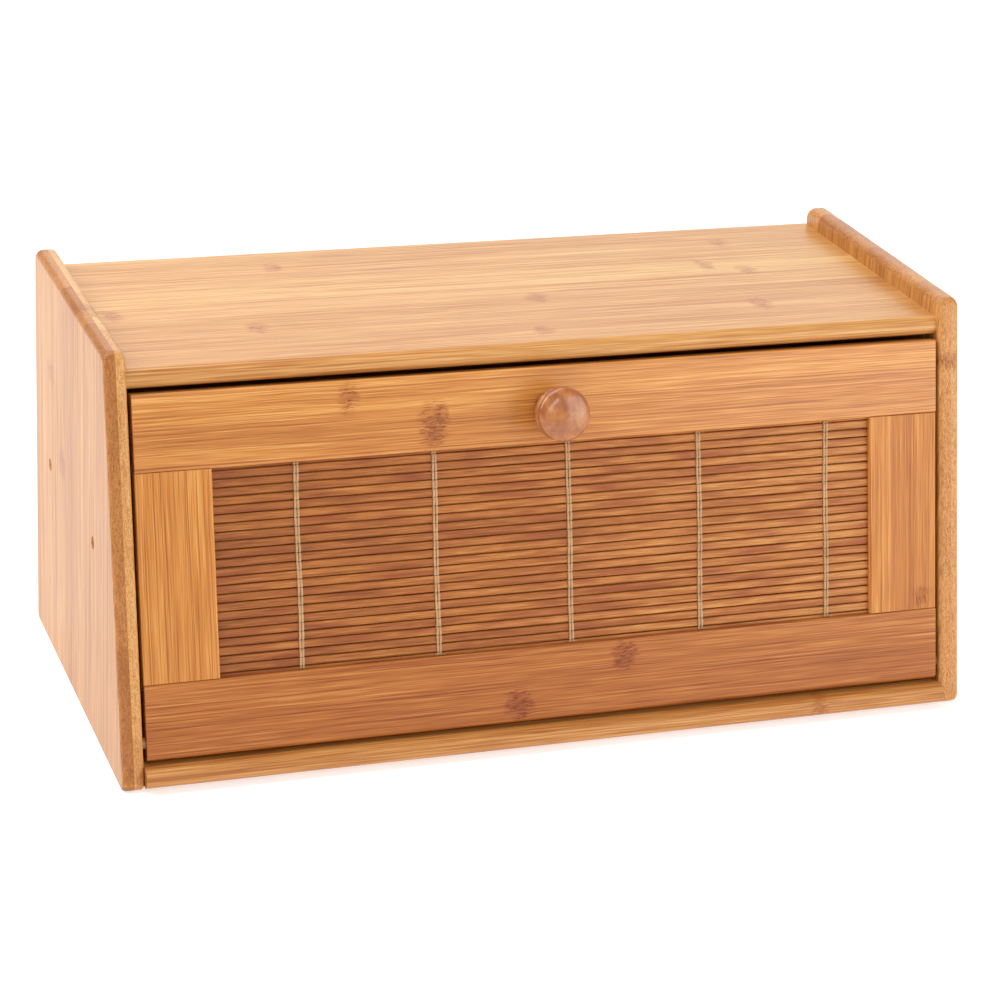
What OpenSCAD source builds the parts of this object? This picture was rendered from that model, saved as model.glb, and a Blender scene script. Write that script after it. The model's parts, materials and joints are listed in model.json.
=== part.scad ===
// Bamboo bread box: two side panels that are also the feet, a top and a base board
// between them, and a leaning front door. The door is a frame around a mat of slats,
// and it drops forward about two dowel pins near its bottom edge.
//
// Origin: middle of the footprint, on the worktop. +X to the viewer's right,
// +Y from the door to the back, +Z up. All sizes are in millimetres.

/* [Case] */
// Overall width, over both side panels
case_w = 402; // [320:1:480]
// Depth of a side panel at its foot
case_d = 193; // [150:1:240]
// Height of a side panel
case_h = 188; // [150:1:230]
// How far the front edge leans back over the whole height
front_lean = 42.5; // [25:0.5:55]
// Thickness of a side panel
side_t = 10; // [8:0.5:14]
// Rounding along the crest of a side panel
crest_r = 3.5; // [2:0.5:4]
// Rounding along the other edges of a side panel
side_edge_r = 2; // [1:0.5:3.5]
// Corner radius at the top back of a side panel
back_corner_r = 5; // [4:0.5:15]
// Corner radius at the other corners of a side panel
corner_r = 4; // [2:0.5:8]

/* [Top and base boards] */
// Thickness of the top board
top_t = 9; // [8:0.5:14]
// Drop from the crest of the side panels to the top board
top_drop = 9; // [4:0.5:15]
// How far the top board's nose stays behind the front edge of the side panels
top_nose_inset = 3.3; // [1:0.1:6]
// Thickness of the base board
base_t = 9; // [8:0.5:14]
// Gap between the worktop and the base board
base_lift = 2; // [0.5:0.5:6]
// How far the base board's nose stands in front of the foot
base_nose_out = 3; // [1:0.5:8]

/* [Back panel] */
// Thickness of the back panel
back_t = 4; // [3:0.5:6]
// From the back edges to the back panel
back_inset = 6; // [5:0.5:15]
// Depth of the grooves that hold the back panel
back_groove = 4; // [2:0.5:5]

/* [Door] */
// Thickness of the door frame
door_t = 9; // [8:0.5:12]
// Width of the two rails
rail_w = 34; // [26:1:45]
// Width of the two stiles
stile_w = 34; // [20:1:45]
// Gap between each door edge and its side panel
door_side_gap = 1.5; // [1:0.1:3]
// Gap between the top of the door and the top board's nose
door_top_gap = 2; // [1.5:0.1:4]
// How far the door's face lies behind the front edges of the side panels
door_inset = 0.7; // [0:0.1:3]
// Rounding along the door's long edges
door_edge_r = 1; // [0.5:0.5:2]
// Rounding along the door's bottom edges, which turn above the base board
door_foot_r = 2; // [1:0.5:3.5]

/* [Hinge pins] */
// Diameter of the dowel that the door turns on
pin_d = 5; // [4:0.5:6]
// Radial clearance of the pin in the door
pin_fit = 0.05; // [0.02:0.01:0.1]
// Height of the pin above the door's bottom edge
pin_up = 7.5; // [6:0.5:10]
// Length of the pin inside the door
pin_in_door = 20; // [12:1:30]
// Gap between the turning bottom edge and the base board
foot_gap = 0.4; // [0.3:0.1:1.5]

/* [Mat] */
// Height of one slat and its gap
slat_pitch = 3.9; // [3.2:0.1:6]
// Gap between two slats
slat_gap = 0.5; // [0.3:0.1:1]
// Thickness of a slat
slat_t = 1.6; // [1.2:0.1:2]
// From the door's face to the slats
mat_recess = 2.5; // [2:0.1:3]
// Depth of the groove in the frame that holds the mat and its backing
mat_groove = 4; // [3:0.5:6]
// Play of the mat and the backing at the bottom of the groove
mat_play = 0.5; // [0.3:0.1:1]
// Diameter of one strand of thread on the front of the mat
thread_d = 1; // [0.6:0.1:1.2]
// Distance between the two strands of a warp
strand_pitch = 1.4; // [1.2:0.1:2]
// Distance between two warps
warp_pitch = 63; // [40:1:80]
// How far the middle warp lies to the right of the door's middle
warp_offset = 8; // [-20:1:20]
// Number of warps
warps = 5; // [3:2:5]
// Thickness of the thread behind the slats
tie_t = 0.4; // [0.3:0.1:0.6]
// Thickness of the backing board
backing_t = 2; // [1.5:0.1:2.5]

/* [Knob] */
// Diameter of the knob
knob_d = 24; // [18:1:32]
// How far the knob stands out from the door
knob_out = 20; // [16:1:28]
// How far the knob sits below the middle of the top rail
knob_drop = 2.5; // [-4:0.5:4]
// Diameter of the screw in the knob
screw_d = 4; // [3:0.5:5]
// Length of the screw inside the knob
screw_in_knob = 12; // [8:1:14]

/* [Dowels, pegs and air holes] */
// Diameter of the dowels in the case's corners
dowel_d = 5; // [4:0.5:6]
// Depth of a dowel, pin or peg in a side panel
dowel_in_side = 6; // [4:0.5:6.5]
// Depth of a dowel in a board's end
dowel_in_board = 14; // [10:1:20]
// Distance from a board's front and back edges to its dowels
dowel_edge = 30; // [22:1:45]
// Diameter of the pegs that the closed door leans on
peg_d = 6; // [5:0.5:8]
// How far a peg stands out of its side panel
peg_out = 8; // [5:0.5:14]
// Gap between the pegs and the back of the closed door
peg_gap = 0.3; // [0.3:0.1:0.6]
// Diameter of the air holes in the side panels
vent_d = 4; // [3:0.5:8]
// Diameter of the countersink around an air hole
vent_sink_d = 6; // [5:0.5:12]
// Distance between the two air holes of a side
vent_pitch = 95; // [40:1:100]
// Distance from the back edge to the nearer air hole
vent_back = 35; // [20:1:40]
// Height of the air holes
vent_up = 93; // [60:1:110]

/* [Hidden] */
$fn = 64;
fine = 0.01;

// Case places, seen from the side
back_y = (case_d + base_nose_out) / 2;
foot_y = back_y - case_d;
lean = atan(front_lean / case_h);
inner_w = case_w - 2 * side_t;
inner_x = inner_w / 2;
base_top_z = base_lift + base_t;
top_z = case_h - top_drop;
top_under_z = top_z - top_t;
top_nose_y = front_y(top_z - top_t / 2) + top_nose_inset;
base_nose_y = foot_y - base_nose_out;
back_panel_y = back_y - back_inset - back_t;

// Door pivot: the bottom edges clear the base board as they turn about the pin
foot_reach = norm([pin_up - door_foot_r, door_t / 2 - door_foot_r]) + door_foot_r;
pivot_z = base_top_z + foot_reach + foot_gap;
pivot_y = front_y(pivot_z) + (door_inset + door_t / 2) / cos(lean);

// Door sizes: it reaches up to the round nose of the top board
door_w = inner_w - 2 * door_side_gap;
nose_rise = [top_nose_y + top_t / 2 - pivot_y, top_z - top_t / 2 - pivot_z];
door_h = pin_up + nose_rise * [sin(lean), cos(lean)] - top_t / 2 - door_top_gap;
opening_w = door_w - 2 * stile_w;
opening_h = door_h - 2 * rail_w;

// Mat: as many whole slats as the grooves hold, centred in the opening
groove_t = slat_t + tie_t + backing_t;
mat_w = opening_w + 2 * (mat_groove - mat_play);
mat_room = opening_h + 2 * (mat_groove - mat_play);
slats = floor(mat_room / slat_pitch);
slat_h = slat_pitch - slat_gap;
backing_y = mat_recess + slat_t + tie_t;

// Knob and its countersunk screw
knob_up = door_h - rail_w / 2 - knob_drop;
knob_r = knob_d / 2;
neck_r = 0.55 * knob_r;
foot_r = 0.7 * knob_r;
ring_at = 0.56 * knob_out;
ring_t = 0.06 * knob_out;
groove_at = 0.68 * knob_out;
groove_deep = 1;
groove_rise = 0.04 * knob_out;
head_at = 0.8 * knob_out;
screw_r = screw_d / 2;
screw_head_r = screw_d;

// Pegs: behind the ends of the top rail
peg_up = door_h - rail_w / 2;
peg_r = peg_d / 2;

function front_y(z) = foot_y + front_lean * z / case_h;

// Rectangle w by h, centred, with round corners
module round_rect(w, h, r) {
    square([w - 2 * r, h], center = true);
    square([w, h - 2 * r], center = true);
    for (sx = [-1, 1], sy = [-1, 1])
        translate([sx * (w / 2 - r), sy * (h / 2 - r)]) circle(r);
}

// Bar of length l along X, whose section is drawn with depth as x and height as y
module along_x(l) {
    rotate([90, 0, 90]) linear_extrude(l, center = true) children();
}

// Rod of length l that starts at x and runs along +X
module rod_x(x, l, r) {
    translate([x, 0, 0]) rotate([0, 90, 0]) cylinder(h = l, r = r);
}

// Place of the closed door: origin on the pivot, +Z up the door, +Y into the case
module on_door() {
    translate([0, pivot_y, pivot_z]) rotate([-lean, 0, 0])
        translate([0, -door_t / 2, -pin_up]) children();
}

// ---- Side panels ----

// Outline of a side panel: depth as x, height as y, with its own radius at each corner
module side_outline() {
    corner = [
        [foot_y, 0, corner_r], [back_y, 0, corner_r],
        [back_y, case_h, back_corner_r], [foot_y + front_lean, case_h, corner_r]
    ];
    polygon([for (i = [0 : 3]) each corner_arc(corner[(i + 3) % 4], corner[i], corner[(i + 1) % 4])]);
}

// Arc that rounds corner b between its neighbours a and c
function corner_arc(a, b, c, steps = 12) =
    let (
        to_a = unit([a[0] - b[0], a[1] - b[1]]),
        to_c = unit([c[0] - b[0], c[1] - b[1]]),
        half = acos(to_a * to_c) / 2,
        middle = [b[0], b[1]] + unit(to_a + to_c) * b[2] / sin(half),
        first = [b[0], b[1]] + to_a * b[2] / tan(half) - middle,
        sweep = 180 - 2 * half
    )
    [for (i = [0 : steps]) middle + spin(first, sweep * i / steps)];

function unit(v) = v / norm(v);
function spin(v, a) = [v[0] * cos(a) - v[1] * sin(a), v[0] * sin(a) + v[1] * cos(a)];

// Side panel with its edges rounded, centred on x = 0
module side_blank() {
    big = 2 * (case_d + case_h);
    intersection() {
        along_x(side_t) side_outline();
        // crest and underside
        rotate([90, 0, 0]) linear_extrude(big, center = true) upright_section();
        // back edge
        translate([0, back_y - case_d, 0]) linear_extrude(big, center = true)
            round_rect(side_t, 2 * case_d, side_edge_r);
        // leaning front edge
        translate([0, foot_y, 0]) rotate([-lean, 0, 0]) translate([0, case_d, 0])
            linear_extrude(big, center = true) round_rect(side_t, 2 * case_d, side_edge_r);
    }
}

// Upright section of a side panel, with its own radius at the crest
module upright_section() {
    half = side_t / 2;
    translate([-half, side_edge_r]) square([side_t, case_h - side_edge_r - crest_r]);
    for (edge = [[side_edge_r, side_edge_r], [crest_r, case_h - crest_r]]) translate([0, edge[1]]) {
        square([side_t - 2 * edge[0], 2 * edge[0]], center = true);
        for (x = [edge[0] - half, half - edge[0]]) translate([x, 0]) circle(edge[0]);
    }
}

// One side panel; side is -1 for the left one and 1 for the right one
module side_panel(side) {
    outer_x = side * case_w / 2;
    mid_x = side * (inner_x + side_t / 2);
    difference() {
        translate([mid_x, 0, 0]) side_blank();
        top_dowel_places() blind_hole(side, dowel_d / 2);
        base_dowel_places() blind_hole(side, dowel_d / 2);
        translate([0, pivot_y, pivot_z]) blind_hole(side, pin_d / 2);
        peg_place() blind_hole(side, peg_r);
        back_panel_blank();
        for (y = [back_y - vent_back, back_y - vent_back - vent_pitch]) translate([0, y, vent_up]) {
            translate([mid_x, 0, 0]) rotate([0, 90, 0])
                cylinder(h = side_t + 2, d = vent_d, center = true);
            translate([outer_x, 0, 0]) rotate([0, -side * 90, 0])
                cylinder(h = (vent_sink_d - vent_d) / 2, d1 = vent_sink_d, d2 = vent_d);
        }
    }
}

// Hole in a side panel's inner face, as deep as a dowel goes in
module blind_hole(side, r) {
    rod_x(side > 0 ? inner_x - fine : -inner_x - dowel_in_side, dowel_in_side + fine, r);
}

module left_side_panel() { color("#ecc49a") side_panel(-1); }
module right_side_panel() { color("#ecc49a") side_panel(1); }

// ---- Top, base and back ----

// Board between the side panels with a full round nose at the front
module board(nose_y, under_z, t) {
    along_x(inner_w) {
        translate([nose_y + t / 2, under_z]) square([back_y - nose_y - t / 2, t]);
        translate([nose_y + t / 2, under_z + t / 2]) circle(t / 2);
    }
}

module top_board() {
    color("#e9bd8b") difference() {
        board(top_nose_y, top_under_z, top_t);
        back_panel_blank();
        for (side = [-1, 1]) top_dowel_places() board_hole(side);
    }
}

module base_board() {
    color("#d9a26c") difference() {
        board(base_nose_y, base_lift, base_t);
        back_panel_blank();
        for (side = [-1, 1]) base_dowel_places() board_hole(side);
    }
}

// Hole in a board's end for a dowel
module board_hole(side) {
    rod_x(side > 0 ? inner_x - dowel_in_board : -inner_x - fine, dowel_in_board + fine, dowel_d / 2);
}

// Back panel, which fills its grooves in the side panels and the two boards
module back_panel_blank() {
    translate([-inner_x - back_groove, back_panel_y, base_top_z - back_groove])
        cube([inner_w + 2 * back_groove, back_t, top_under_z - base_top_z + 2 * back_groove]);
}

module back_panel() { color("#dcab78") back_panel_blank(); }

// ---- Dowels, pins and pegs ----

// The dowels of a board's end: one near the front and one near the back panel
module dowel_places(nose_y, mid_z) {
    for (y = [nose_y + dowel_edge, back_panel_y - dowel_edge]) translate([0, y, mid_z]) children();
}

module top_dowel_places() { dowel_places(top_nose_y, top_z - top_t / 2) children(); }
module base_dowel_places() { dowel_places(base_nose_y, base_lift + base_t / 2) children(); }

// One dowel across the joint between a board and a side panel
module dowel(side) {
    x = side > 0 ? inner_x - dowel_in_board : -inner_x - dowel_in_side;
    rod_x(x, dowel_in_board + dowel_in_side, dowel_d / 2);
}

module top_dowels() {
    color("#c98f56") for (side = [-1, 1]) top_dowel_places() dowel(side);
}

module base_dowels() {
    color("#c98f56") for (side = [-1, 1]) base_dowel_places() dowel(side);
}

// Pin glued into a side panel, on which the door turns
module hinge_pin(side) {
    inner_end = door_w / 2 - pin_in_door;
    outer_end = inner_x + dowel_in_side;
    color("#b97a45") translate([0, pivot_y, pivot_z])
        rod_x(side > 0 ? inner_end : -outer_end, outer_end - inner_end, pin_d / 2);
}

module left_hinge_pin() { hinge_pin(-1); }
module right_hinge_pin() { hinge_pin(1); }

// Axis of the pegs, behind the closed door
module peg_place() { on_door() translate([0, door_t + peg_gap + peg_r, peg_up]) children(); }

module stop_peg(side) {
    x = side > 0 ? inner_x - peg_out : -inner_x - dowel_in_side;
    color("#b97a45") peg_place() rod_x(x, peg_out + dowel_in_side, peg_r);
}

module left_stop_peg() { stop_peg(-1); }
module right_stop_peg() { stop_peg(1); }

// ---- Door frame ----

// Section of a rail: depth as x, height as y from its outer edge, where the edges may
// have a larger radius; the groove for the mat runs along the edge at the opening
module rail_section(outer_r) {
    difference() {
        translate([door_t / 2, rail_w / 2]) round_rect(door_t, rail_w, door_edge_r);
        if (outer_r > door_edge_r) outer_corner_cut(outer_r);
        translate([mat_recess, rail_w - mat_groove]) square([groove_t, mat_groove + 1]);
    }
}

// Cuts the two outer corners of a rail section back to the larger radius
module outer_corner_cut(r) {
    difference() {
        translate([-1, -1]) square([door_t + 2, r + 1]);
        translate([door_t / 2, r]) square([door_t - 2 * r, 2 * r + 2], center = true);
        for (x = [r, door_t - r]) translate([x, r]) circle(r);
    }
}

module door_bottom_rail() {
    color("#cf8f57") on_door() difference() {
        along_x(door_w) rail_section(door_foot_r);
        for (side = [-1, 1]) translate([0, door_t / 2, pin_up])
            rod_x(side > 0 ? door_w / 2 - pin_in_door - 1 : -door_w / 2 - 1, pin_in_door + 2,
                pin_d / 2 + pin_fit);
    }
}

module door_top_rail() {
    color("#d99c5f") on_door() difference() {
        translate([0, 0, door_h]) mirror([0, 0, 1]) along_x(door_w) rail_section(door_edge_r);
        knob_place() screw_shape();
    }
}

// Stile between the rails: a stub tenon at each end sits in the rails' grooves
module door_stile(side) {
    mid_x = side * (door_w - stile_w) / 2;
    edge_x = side * opening_w / 2;
    color("#d59a60") on_door() difference() {
        union() {
            translate([mid_x, door_t / 2, rail_w]) linear_extrude(opening_h)
                round_rect(stile_w, door_t, door_edge_r);
            translate([mid_x - stile_w / 2 + door_edge_r, mat_recess, rail_w - mat_groove])
                cube([stile_w - 2 * door_edge_r, groove_t, opening_h + 2 * mat_groove]);
        }
        translate([edge_x, mat_recess + groove_t / 2, door_h / 2])
            cube([2 * mat_groove, groove_t + 2 * fine, door_h], center = true);
    }
}

module door_left_stile() { door_stile(-1); }
module door_right_stile() { door_stile(1); }

// ---- Mat ----

module mat_backing() {
    color("#a9683c") on_door() translate([-mat_w / 2, backing_y, (door_h - mat_room) / 2])
        cube([mat_w, backing_t, mat_room]);
}

// Section of a slat: flat behind, with its front edges rounded
module slat_section() {
    r = slat_t / 3;
    translate([slat_t / 2, slat_h / 2]) round_rect(slat_t, slat_h, r);
    translate([slat_t / 2, 0]) square([slat_t / 2, slat_h]);
}

module mat_slats() {
    first = (door_h - slats * slat_pitch + slat_gap) / 2;
    color("#b4703f") on_door() for (i = [0 : slats - 1])
        translate([0, mat_recess, first + i * slat_pitch]) along_x(mat_w) slat_section();
}

// x of each warp
function warp_x(i) = warp_offset + (i - (warps - 1) / 2) * warp_pitch;

// Two strands in front of the slats on each warp, as long as the opening is high
module mat_front_threads() {
    color("#e8d3ae") on_door() for (i = [0 : warps - 1], s = [-1, 1])
        translate([warp_x(i) + s * strand_pitch / 2, mat_recess - thread_d / 2, rail_w])
            cylinder(h = opening_h, d = thread_d, $fn = 24);
}

// The thread behind the slats on each warp, flattened between them and the backing
module mat_back_threads() {
    color("#e8d3ae") on_door() for (i = [0 : warps - 1])
        translate([warp_x(i) - strand_pitch, mat_recess + slat_t, (door_h - mat_room) / 2])
            cube([2 * strand_pitch, tie_t, mat_room]);
}

// ---- Knob ----

// Middle of the knob's foot on the door's face, with +Z pointing out of the door
module knob_place() { translate([0, 0, knob_up]) rotate([90, 0, 0]) children(); }

// Turned knob: a waisted neck, a ring, a groove and a domed head
module knob() {
    outline = concat(
        [[0, 0], [foot_r, 0]],
        [for (a = [0 : 10 : 180]) [
            neck_r + (foot_r - neck_r) * (1 + cos(a)) / 2 + (knob_r - neck_r) * pow(a / 180, 6),
            ring_at * a / 180
        ]],
        [[knob_r, ring_at + ring_t], [knob_r - groove_deep, groove_at], [knob_r, groove_at + groove_rise]],
        [for (a = [0 : 7.5 : 90]) [knob_r * cos(a), head_at + (knob_out - head_at) * sin(a)]]
    );
    color("#c9814e") on_door() difference() {
        knob_place() rotate_extrude($fn = 96) polygon(outline);
        knob_place() screw_shape();
    }
}

// Countersunk screw from behind the rail into the knob
module screw_shape() {
    translate([0, 0, -door_t]) cylinder(h = door_t + screw_in_knob, r = screw_r);
    translate([0, 0, -door_t - fine]) cylinder(h = screw_head_r - screw_r, r1 = screw_head_r, r2 = screw_r);
}

module knob_screw() {
    color("#b8b4a8") on_door() knob_place() screw_shape();
}

left_side_panel();
right_side_panel();
top_board();
base_board();
back_panel();
top_dowels();
base_dowels();
left_stop_peg();
right_stop_peg();
left_hinge_pin();
right_hinge_pin();
door_top_rail();
door_bottom_rail();
door_left_stile();
door_right_stile();
mat_backing();
mat_slats();
mat_front_threads();
mat_back_threads();
knob();
knob_screw();
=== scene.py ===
"""A bamboo bread box with a leaning drop-front door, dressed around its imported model.

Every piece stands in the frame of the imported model: +X to the viewer's right, +Y from the
door to the back, +Z up, in metres. Sizes below are in millimetres unless their name ends
in _m. Pieces of the door are drawn in the door's own axes (x across, y into the case from
the door's face, z up the door) and are turned into place as objects.
"""

import json
import logging
import math
import random
from abc import ABC, abstractmethod
from dataclasses import dataclass, field
from enum import Enum
from typing import Callable, Iterable, Optional, Sequence, Union

import bmesh
import bpy
from mathutils import Matrix, Quaternion, Vector


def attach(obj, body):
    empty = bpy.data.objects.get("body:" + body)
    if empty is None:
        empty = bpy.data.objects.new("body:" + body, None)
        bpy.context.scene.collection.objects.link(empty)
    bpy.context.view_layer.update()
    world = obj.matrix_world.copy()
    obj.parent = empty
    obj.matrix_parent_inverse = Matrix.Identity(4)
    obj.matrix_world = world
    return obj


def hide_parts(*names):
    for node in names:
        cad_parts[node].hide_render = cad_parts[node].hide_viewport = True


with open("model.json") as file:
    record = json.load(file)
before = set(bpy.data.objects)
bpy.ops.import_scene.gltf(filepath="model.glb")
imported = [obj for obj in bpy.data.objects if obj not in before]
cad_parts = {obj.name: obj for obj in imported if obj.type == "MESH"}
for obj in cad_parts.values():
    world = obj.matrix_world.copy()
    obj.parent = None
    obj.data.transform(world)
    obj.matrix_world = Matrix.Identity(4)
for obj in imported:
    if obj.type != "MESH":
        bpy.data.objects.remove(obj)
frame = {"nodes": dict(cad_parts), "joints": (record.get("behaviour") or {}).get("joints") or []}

log = logging.getLogger("bread_box")

MM = 0.001
Point2 = tuple[float, float]
Colour = tuple[float, float, float]
Value = Union["Signal", float, int, tuple]
Stops = Sequence[tuple[float, Colour]]
Mesh = bmesh.types.BMesh

# The two sides, by the sign of x
HANDS = {-1: "left", 1: "right"}
# Step between the fibre seeds of neighbouring strips
SEED_STEP = 0.618
# Steps of a rounded rim, and sides of rods, screws and air holes
RIM_STEPS = 5
ROD_SIDES = 48
VENT_SIDES = 40
# Radians in one wave of a slat
TURN = 6.28
# How far a cutting shape stands out of the face that it cuts, in millimetres
OVERCUT = 0.5
# The grain's slow sway and its bends round node marks: features per metre, and reach in metres
SWAY_SCALES, SWAY_M = (14.0, 60.0, 60.0), 0.0011
BEND_SCALES, BEND_M = (170.0, 90.0, 90.0), 0.005


# ---- Shader arithmetic ----


def operator(operation: str, swapped: bool = False) -> Callable[["Signal", Value], "Signal"]:
    """Return a method that adds a Math node.

    Args:
        operation: The Math node's operation.
        swapped: Whether the operands change places, as a reflected operator needs.

    Returns:
        The method.
    """

    def apply(this: "Signal", other: Value) -> "Signal":
        """Return the operation's result."""
        return this.kit.math(operation, *((other, this) if swapped else (this, other)))

    return apply


class Signal:
    """One output of a shader node; arithmetic on it adds Math nodes."""

    __add__, __radd__ = operator("ADD"), operator("ADD", swapped=True)
    __sub__, __rsub__ = operator("SUBTRACT"), operator("SUBTRACT", swapped=True)
    __mul__, __rmul__ = operator("MULTIPLY"), operator("MULTIPLY", swapped=True)
    largest = operator("MAXIMUM")

    def __init__(self, kit: "ShaderKit", socket: bpy.types.NodeSocket) -> None:
        self.kit = kit
        self.socket = socket

    def __abs__(self) -> "Signal":
        """Return the value without its sign."""
        return self.kit.math("ABSOLUTE", self)

    def above(self, low: float, high: float) -> "Signal":
        """Rise smoothly from 0 at the low value to 1 at the high one."""
        settings = {"interpolation_type": "SMOOTHSTEP"}
        return self.kit.add("ShaderNodeMapRange", settings, {0: self, 1: low, 2: high})


class ShaderKit:
    """Builds one material's node tree."""

    def __init__(self, name: str) -> None:
        """Start an empty material of that name.

        Args:
            name: The material's name.
        """
        self.material = bpy.data.materials.new(name)
        self.material.use_nodes = True
        self.tree = self.material.node_tree
        self.tree.nodes.clear()

    def add(
        self, kind: str, settings: dict, sockets: dict, output: Union[int, str, None] = 0
    ) -> Optional[Signal]:
        """Add a node.

        Args:
            kind: The node's type name.
            settings: Properties to set first; "stops" holds a ramp's (place, colour) pairs.
            sockets: Values or signals by the input socket's name or number.
            output: Which output to return, or None for a node that has no output.

        Returns:
            The chosen output, if any.
        """
        node = self.tree.nodes.new(kind)
        for key, value in settings.items():
            if key == "stops":
                self._set_stops(node.color_ramp, value)
            elif key == "blend":
                node.color_ramp.interpolation = value
            else:
                setattr(node, key, value)
        for key, value in sockets.items():
            self._feed(node.inputs[key], value)
        return None if output is None else Signal(self, node.outputs[output])

    @staticmethod
    def _set_stops(ramp: bpy.types.ColorRamp, stops: Stops) -> None:
        """Replace a ramp's stops.

        Args:
            ramp: The ramp.
            stops: The new (place, colour) pairs, from low to high.
        """
        while len(ramp.elements) > 1:
            ramp.elements.remove(ramp.elements[-1])
        for count, (place, colour) in enumerate(stops):
            element = ramp.elements[0] if count == 0 else ramp.elements.new(place)
            element.position = place
            element.color = (*colour, 1.0)

    def _feed(self, socket: bpy.types.NodeSocket, value: Value) -> None:
        """Link a signal to an input socket, or set the socket to a value.

        Args:
            socket: The input socket.
            value: What it gets; three numbers for a colour are made opaque.
        """
        if isinstance(value, Signal):
            self.tree.links.new(value.socket, socket)
        elif isinstance(value, tuple) and socket.type == "RGBA" and len(value) == 3:
            socket.default_value = (*value, 1.0)
        else:
            socket.default_value = value

    def math(self, operation: str, *operands: Value) -> Signal:
        """Add a Math node for one operation on numbers."""
        return self.add("ShaderNodeMath", {"operation": operation}, dict(enumerate(operands)))

    def vector_math(self, operation: str, first: Value, second: Value, output: int = 0) -> Signal:
        """Add a Vector Math node; output 1 is the one that holds a number."""
        settings = {"operation": operation}
        return self.add("ShaderNodeVectorMath", settings, {0: first, 1: second}, output)

    def mix(self, share: Value, first: Value, second: Value) -> Signal:
        """Mix two colours by a share from 0 to 1."""
        settings = {"data_type": "RGBA", "clamp_factor": True}
        return self.add("ShaderNodeMix", settings, {0: share, 6: first, 7: second}, 2)

    def ramp(self, value: Value, stops: Stops, blend: str = "LINEAR") -> Signal:
        """Colour a value from 0 to 1 by a ramp."""
        return self.add("ShaderNodeValToRGB", {"stops": stops, "blend": blend}, {0: value})

    def place(self) -> Signal:
        """Return the point on the piece in its own axes, in metres."""
        return self.add("ShaderNodeTexCoord", {}, {}, "Object")

    def facing(self) -> Signal:
        """Return the surface's normal in the piece's own axes."""
        return self.add("ShaderNodeTexCoord", {}, {}, "Normal")

    def split(self, vector: Signal) -> tuple[Signal, Signal, Signal]:
        """Split a vector or a colour into its three numbers."""
        first = self.add("ShaderNodeSeparateXYZ", {}, {0: vector})
        outputs = first.socket.node.outputs
        return first, Signal(self, outputs[1]), Signal(self, outputs[2])

    def join(self, x: Value, y: Value, z: Value) -> Signal:
        """Join three numbers into a vector."""
        return self.add("ShaderNodeCombineXYZ", {}, {0: x, 1: y, 2: z})

    def noise(
        self, where: Signal, scale: Union[float, Colour], detail: float = 2.0, rough: float = 0.6
    ) -> Signal:
        """Return smooth noise between 0 and 1.

        Args:
            where: The point at which the noise is read.
            scale: Features per unit of the point, once for all axes or for each axis.
            detail: How many finer octaves are added.
            rough: How strong the finer octaves are.

        Returns:
            The noise value.
        """
        if isinstance(scale, tuple):
            where, scale = self.vector_math("MULTIPLY", where, scale), 1.0
        sockets = {"Vector": where, "Scale": scale, "Detail": detail, "Roughness": rough}
        return self.add("ShaderNodeTexNoise", {"normalize": True}, sockets)

    def attribute(self, name: str) -> Signal:
        """Return a mesh attribute's number."""
        return self.add("ShaderNodeAttribute", {"attribute_name": name}, {}, "Fac")

    def bump(self, height: Signal, depth_mm: float, strength: float) -> Signal:
        """Turn a height between 0 and 1 into a surface normal."""
        sockets = {"Strength": strength, "Distance": depth_mm * MM, "Height": height}
        return self.add("ShaderNodeBump", {}, sockets)

    def finish(
        self, colour: Value, roughness: Value, normal: Optional[Signal], constants: dict
    ) -> None:
        """Add the surface shader and the output.

        Args:
            colour: The base colour.
            roughness: The roughness.
            normal: The normal from a bump, or None on a smooth surface.
            constants: The values of other sockets, by their names.
        """
        sockets = {"Base Color": colour, "Roughness": roughness, **constants}
        if normal is not None:
            sockets["Normal"] = normal
        shader = self.add("ShaderNodeBsdfPrincipled", {}, sockets)
        self.add("ShaderNodeOutputMaterial", {}, {"Surface": shader}, None)


# ---- Finishes ----


class Streak(Enum):
    """Features per metre along and across the fibres, and the finer octaves."""

    BROAD = (4.0, 170.0, 1.0)
    FIBRE = (10.0, 1050.0, 2.0)
    FINE = (38.0, 2000.0, 1.0)
    LINE = (7.0, 900.0, 1.0)
    CUT_END = (420.0, 1300.0, 1.0)


class Grain(Enum):
    """Which axes run along the fibres, across the strips and through the board."""

    ACROSS_THE_BOX = "xyz"
    ACROSS_THE_DOOR = "xzy"
    UP_THE_DOOR = "zxy"
    UP_THE_SIDE = "zyx"


@dataclass(frozen=True)
class Knuckle:
    """A bamboo node mark: where it lies along and across the fibres, and how big it is."""

    along: float
    across: float
    reach: float = 6.0
    width: float = 9.0
    depth: float = 1.0


@dataclass(frozen=True)
class PlyAndHighlight:
    """The glue line between two layers: its place, and how the far layer differs; on the right
    panel the far layer is also drawn lighter as a painted highlight along its rounded outer edge.
    """

    at: float
    shift: float = 9.0
    light: float = 0.12
    red: float = -0.15


@dataclass(frozen=True)
class Strips:
    """How strips are glued side by side: their first edge, their width and their shades.

    A shade is (light, red): light is 0.5 for the middle tone, and red is 0 for straw.
    """

    start: float
    width: float
    shades: tuple[Point2, ...]

    def stops(self) -> Stops:
        """Return the ramp stops: light, red and a seed for the fibres of each strip."""
        count = len(self.shades)
        numbered = enumerate(self.shades)
        return [(i / count, (light, red, i * SEED_STEP % 1.0)) for i, (light, red) in numbered]

    def span(self) -> float:
        """Return the width of all strips together."""
        return self.width * len(self.shades)


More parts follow.
